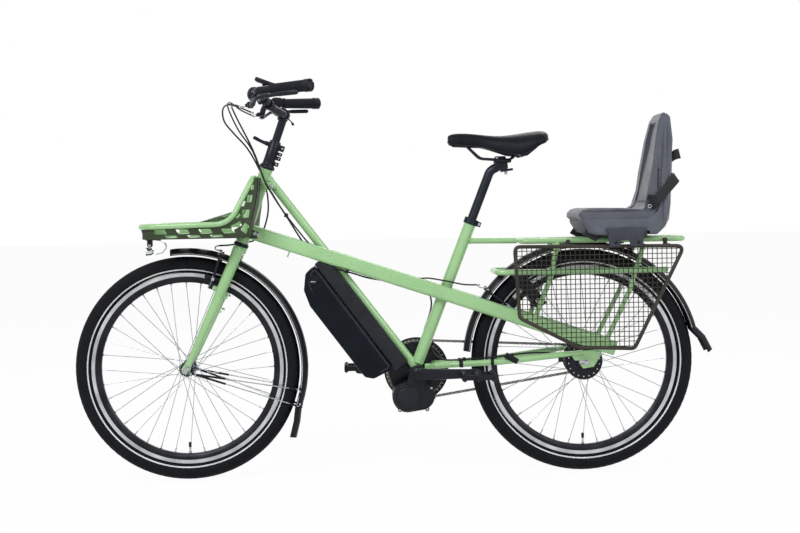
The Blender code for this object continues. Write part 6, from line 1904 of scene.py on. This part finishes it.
# A thin pale line along each lower edge of a guard: a painted highlight on the rolled edge
def guardEdgeHighlight(hub, start, end, steps, bm):
    for side in (-1, 1):
        path = [roundWheel(hub, start + (end - start) * i / steps, 338.6 * mm, side * 27.2 * mm)
                for i in range(steps + 1)]
        tube(path, 0.7, 6, bm)


def makeFrontGuard():
    arch = guardArch(frontAxle, 97, -20, [(-292, 0, 165), (-304, 0, 118)], 60)
    line, sleeves, rods, clips = blank(4)
    # painted highlight along both lower edges
    guardEdgeHighlight(frontAxle, 96, -19.5, 60, line)
    for side in (-1, 1):
        eye = frontAxle + spot(14, side * 60, -10)
        for z in (262, 212):
            turn = frontAxle + spot(24, side * 60, -12)
            end = spot(-290, side * 26, z)
            tube(rounded([eye, turn, end], 6 * mm, 5), guardLook["stayRadius"], 12, rods)
            tube([turn.lerp(end, 0.02), turn.lerp(end, 0.30)], guardLook["sleeveRadius"], 14, sleeves)
            tube([end.lerp(turn, 0.02), end.lerp(turn, 0.09)], guardLook["sleeveRadius"], 14, sleeves)
        block((9, 3, 60), spot(-284, side * 27, 237), 1, clips)
        block((20, 5, 7), frontAxle + spot(16, side * 61.5, -10.5), 1.4, clips)
        bolt(frontAxle + spot(14, side * 63.5, -10.5), across * side, 4.2, 3, rods)
        for z in (218, 256):
            bolt(spot(-286, side * 28.2, z), across * side, 3, 2.2, rods)
    block((10, 16, 30), onSteerer(-36) + spot(-8, 0, -14), 1, clips, steerUp)
    makePiece("frontMudguard", "steering", ["front_mudguard"],
              [(arch, guardPlastic), (line, reflectiveTapeAndEdgeHighlight), (sleeves, blackPlastic), (rods, spokeSteel),
               (clips, blackPlastic)], angle=40)


def makeRearGuard():
    arch = guardArch(rearAxle, 174.5, 15, [(920, 0, 392), (940.5, 0, 352)], 80)
    line, clips = blank(2)
    # painted highlight along both lower edges
    guardEdgeHighlight(rearAxle, 174, 15.5, 80, line)
    block((10, 40, 14), spot(700, 0, 655.5), 1, clips)
    makePiece("rearMudguard", "frame", ["rear_mudguard"],
              [(arch, guardPlastic), (line, reflectiveTapeAndEdgeHighlight), (clips, blackPlastic)], angle=40)


makeFrontGuard()
makeRearGuard()


# Ring lock
print("lock and lamp")
lockLook = {
    "angle": 126.5,
    "outline": [
        (-52, 205), (-52, 297), (-40, 332), (-20, 341), (0, 342.4), (20, 341), (40, 332), (46, 297),
        (46, 225), (34, 205), (30, 250), (28.5, 314), (18, 333), (0, 334.6), (-18, 333), (-28.5, 314),
        (-30, 250), (-32, 205),
    ],
    "thickness": 34.0,
}


def makeLock():
    radial = slope(lockLook["angle"])
    along = squareTo(radial)
    half = lockLook["thickness"] / 2

    def at(y, r, end=0.0):
        return rearAxle + radial * r * mm + across * y * mm + along * end * mm

    shape = rounded([Vector((y, r, 0)) for y, r in lockLook["outline"]], 5, 3, True)
    body = soften(loft(bmesh.new(), [[at(p.x, p.y, end) for p in shape] for end in (-half, half)]),
                  1.6 * mm, 3, 60)
    seam, steel, dark = blank(3)
    block((34, 6, 52), at(-50, 246), 2.6, body, along)
    block((22, 3, 34), at(-53.2, 262), 1.4, body, along)
    for r in (216, 292):
        block((35, 1.2, 1.6), at(-52.4, r), 0.4, seam, along)
    peg(at(-52, 226), at(-57, 226), 7.4, 1.0, 28, steel)
    block((2.2, 0.8, 7.5), at(-57.2, 226), 0, dark, along)
    block((16, 6, 14), at(-44, 226, -20), 2, body, along)
    makePiece("ringLock", "frame", ["ring_lock"],
              [(body, blackPlastic), (seam, railPlastic), (steel, polishedAlloy), (dark, blackPlastic)],
              angle=38)


# Headlamp on its bracket under the tray
lampLook = {
    "tilt": Vector((-718, 0, 694)),
    "drop": 17.5,
    "guardRadius": 1.3,
}


def makeHeadlamp():
    pivot = lampLook["tilt"] * mm
    bracket, wire, steel = blank(3)
    block((44, 22, 4), spot(-708, 0, 711.5), 1, bracket)
    for side in (-1, 1):
        ear = [(-725, 713), (-711, 713), (-711, 694), (-714, 688.6), (-722, 688.6), (-725, 694)]
        sidePlate(flatSpots(ear), side * 7.5, side * 10.5, 3, 0.6, bracket)
        hoop = [(-700, 8.5, 710), (-684, 8.5, 707), (-673, 8.5, 700), (-670, 8.5, 688), (-682, 8.5, 672),
                (-701, 8.5, 668)]
        tube(rounded([spot(x, side * y, z) for x, y, z in hoop], 8 * mm, 5), lampLook["guardRadius"], 12,
             wire)
        bolt(pivot + across * side * 10 * mm, across * side, 4.4, 3, steel)
    peg(*through(pivot, 10), 2.2, 0.3, 14, steel)
    makePiece("lampBracket", "frame", ["lamp_bracket"],
              [(bracket, blackAlloy), (wire, chrome), (steel, boltSteel)])
    centre = pivot - upward * lampLook["drop"] * mm
    shell = revolve([(-11, 0), (-11, 5), (-9.6, 7.4), (-4, 10.8), (3, 12.1), (10, 12.5), (12, 12.5),
                     (12.4, 12), (12, 11.4), (9, 10.6), (2, 7), (0, 0)], centre, -rearward, 40)
    glass = revolve([(8.6, 0), (8.6, 10.4), (10.4, 10.9), (11.6, 8), (12.3, 0)], centre, -rearward, 40)
    ring = revolve([(9.5, 12.3), (9.5, 13), (11.8, 13), (11.8, 12.3)], centre, -rearward, 40, True)
    stem = block((8, 12, 12), pivot - upward * 3 * mm, 2)
    makePiece("headlamp", "lamp", ["headlamp"],
              [(shell, ring, chrome), (glass, lens), (stem, chrome)], pivot)


makeLock()
makeHeadlamp()


# Rim brakes
print("brakes")
brakeLook = {
    "armWidth": 8.0,
    "armDepth": 7.4,
    "lean": 1.0,
    "reach": 104.0,
}


def makeArm(node, body, pivot, radial, axis, side):
    out = across * side
    lean = brakeLook["lean"]

    def place(outward, up, along=0.0):
        return pivot + out * outward * mm + radial * up * mm + axis * along * mm

    arm, pads, steel = blank(3)
    pipe(place(0, 0, -5), place(0, 0, 5), 6.6, 4.1, 28, arm)
    path = smooth([place(0, 5.4), place(-0.5, 40), place(lean * 0.6, 75), place(lean, brakeLook["reach"])],
                  6)
    grow = [1.15 - 0.3 * i / (len(path) - 1) for i in range(len(path))]
    section = softRectangle(brakeLook["armDepth"] * mm, brakeLook["armWidth"] * mm, 1.6 * mm, 3)
    sweep(path, section, axis, False, grow, arm)
    face = abs(pivot.y) / mm - 12.5 - 1.4
    peg(place(6, 24), place(-face + 7, 24), 3.5, 0.5, 18, steel)
    bolt(place(4.2, 24), out, 5.4, 4, steel)
    block((3.6, 11, 50), place(-face + 7.4, 24), 1.2, arm, out, radial)
    block((7.2, 9.6, 57), place(-face + 3.6, 24), 1.4, pads, out, radial)
    bolt(place(0, 0, 5.2), axis, 5.4, 3.4, steel)
    bolt(place(lean, brakeLook["reach"] - 4, 3.6), axis, 3.6, 3, steel)
    tube([place(6.2, 4, 3), place(6.2, 34, 3)], 0.9, 8, steel)
    makePiece(node.replace("_", "") + "Form", body, [node],
              [(arm, blackPaint), (pads, rubber), (steel, boltSteel)], pivot)


def makeLink(name, body, pivot, radial, axis, end, bends):
    boot, wire, noodle = blank(3)
    near = 1 if end[1] > 0 else -1
    ends = {-1: mirrored(pivot), 1: pivot}
    top = {side: ends[side] + radial * 107 * mm + axis * 6 * mm for side in ends}
    tube([top[-1] + across * 2 * mm, top[1]], 0.9, 8, wire)
    middle = (top[-1] + top[1]) / 2
    revolve([(-13, 0), (-13, 2), (-6, 3.6), (0, 3), (6, 3.8), (11, 2.6), (11, 0)], middle, across, 18,
            False, boot)
    path = smooth([spot(*end)] + spots(bends) + [top[near], top[near] - across * near * 10 * mm], 5)
    tube(path, 2.3, 14, noodle)
    makePiece(name, body, [], [(boot, cableSkin), (wire, spokeSteel), (noodle, boltSteel)],
              angle=45)


front = (brakePivot(frontAxle, frontRadial, 1, 40), frontRadial, frontArmAxis)
rear = (brakePivot(rearAxle, rearRadial, 1, 34), rearRadial, rearArmAxis)
for side, name in bothSides:
    for end, (pivot, radial, axis) in (("front", front), ("rear", rear)):
        place = pivot if side > 0 else mirrored(pivot)
        makeArm(end + "_brake_arm_" + name, end + "_" + name + "_arm", place, radial, axis, side)
makeLink("frontBrakeLink", "steering", *front, frontBrakeRoute[-1], [(-531, 50, 686), (-530, 50, 677)])
makeLink("rearBrakeLink", "frame", *rear, rearBrakeRoute[-1], [(244, -30, 560), (250, -38, 554)])


# Fittings on the cables
def makeFittings():
    ends = bmesh.new()
    for route in (gearRoute, rearBrakeRoute, frontBrakeRoute):
        first, second = spot(*route[0]), spot(*route[1])
        run = (second - first).normalized()
        peg(first - run * 4 * mm, first + run * 13 * mm, 3.4, 0.6, 18, ends)
    makePiece("cableFerrules", "cockpit", [], [(ends, polishedAlloy)])
    clips = bmesh.new()
    run = Vector((0.5, 0.2, -0.85))
    block((10, 18, 9), spot(-314, -32, 776), 2.4, clips, run)
    block((4, 6, 15), spot(-314, -36, 776), 1.6, clips, run)
    block((11, 14, 10), spot(-140, -36.5, 608), 1.8, clips, Vector((1, 0, -0.34)))
    for x, y, z in ((200, -37.5, 343), (340, -56, 353)):
        block((10, 9, 10), spot(x, y, z), 2, clips)
    guide = tube([spot(-306.5, -30, 670), spot(-313.5, -33, 653)], 2.2, 14)
    makePiece("cableClips", "frame", [], [(clips, blackPlastic), (guide, greenPaint)])


makeFittings()


# Any solid that keeps its own mesh gets its real finish
print("carried-over solids")
slotFinish = {
    "green_paint": greenPaint, "black_alloy": blackAlloy, "black_plastic": blackPlastic,
    "grey_plastic": seatPlastic,
    "bright_steel": boltSteel, "alloy_rim": rimAlloy, "tyre": rubber, "grip_rubber": gripRubber,
    "black_wire": wireCoat,
    "webbing": webbing,
}
slotOf = {entry["node"]: entry["material_slot"] for entry in frame["record"]["subparts"]}
for nodeName, node in frame["nodes"].items():
    if node.hide_render:
        continue
    node.data.materials.clear()
    node.data.materials.append(slotFinish[slotOf[nodeName]])
    print("  kept", nodeName)


# Floor and lamps
print("stage")
stage = {
    "floorColour": "#F4F4F2",
    "floorGlow": 0.94,
    "keyWatts": 118.0,
    "fillWatts": 50.0,
    "rimWatts": 46.0,
    "skyStrength": 0.52,
}


# 1 where a ray from the camera sees it straight, in a reflection or through the lens
def plainlySeen(tree):
    path = addNode(tree, "LightPath").outputs
    seen = maths(tree, "MAXIMUM", path["Is Camera Ray"], path["Is Glossy Ray"])
    return maths(tree, "MAXIMUM", seen, path["Is Transmission Ray"])


def makeFloor():
    mesh = bpy.data.meshes.new("floor")
    mesh.from_pydata([(-30, -30, 0), (30, -30, 0), (30, 30, 0), (-30, 30, 0)], [], [(0, 1, 2, 3)])
    floor = bpy.data.objects.new("floor", mesh)
    scene.collection.objects.link(floor)
    material = bpy.data.materials.new("paleStudioFloor")
    material.use_nodes = True
    tree = material.node_tree
    tree.nodes.clear()
    out = addNode(tree, "OutputMaterial")
    cast = addNode(tree, "BsdfDiffuse", {"Color": toLinear(stage["floorColour"])})
    glow = addNode(tree, "Emission", {"Color": (1, 1, 1, 1), "Strength": 1.0})
    share = maths(tree, "MULTIPLY", plainlySeen(tree), stage["floorGlow"])
    mixed = addNode(tree, "MixShader", {0: share, 1: cast.outputs[0], 2: glow.outputs[0]})
    tree.links.new(mixed.outputs[0], out.inputs["Surface"])
    mesh.materials.append(material)


def makeSky():
    world = bpy.data.worlds.new("studio")
    scene.world = world
    world.use_nodes = True
    tree = world.node_tree
    strength = addNode(tree, "MapRange",
                       {"Value": plainlySeen(tree), "To Min": stage["skyStrength"], "To Max": 1.0})
    background = tree.nodes["Background"]
    background.inputs["Color"].default_value = (1, 1, 1, 1)
    tree.links.new(strength.outputs["Result"], background.inputs["Strength"])


def makeLamp(name, at, target, size, watts):
    data = bpy.data.lights.new(name, "AREA")
    data.shape, data.size, data.size_y, data.energy = "RECTANGLE", size[0], size[1], watts
    lamp = bpy.data.objects.new(name, data)
    lamp.location = at
    lamp.rotation_mode = "QUATERNION"
    lamp.rotation_quaternion = (Vector(target) - Vector(at)).to_track_quat("-Z", "Y")
    scene.collection.objects.link(lamp)


makeFloor()
makeSky()
makeLamp("keyLamp", (-2.2, -3.2, 3.6), (0, 0, 0.6), (2.6, 1.6), stage["keyWatts"])
makeLamp("fillLamp", (2.8, -2.6, 2.6), (0, 0, 0.5), (2.2, 1.6), stage["fillWatts"])
makeLamp("rimLamp", (0.4, 3.0, 3.2), (0, 0, 0.6), (3.0, 1.2), stage["rimWatts"])

scene.view_settings.view_transform = "Standard"
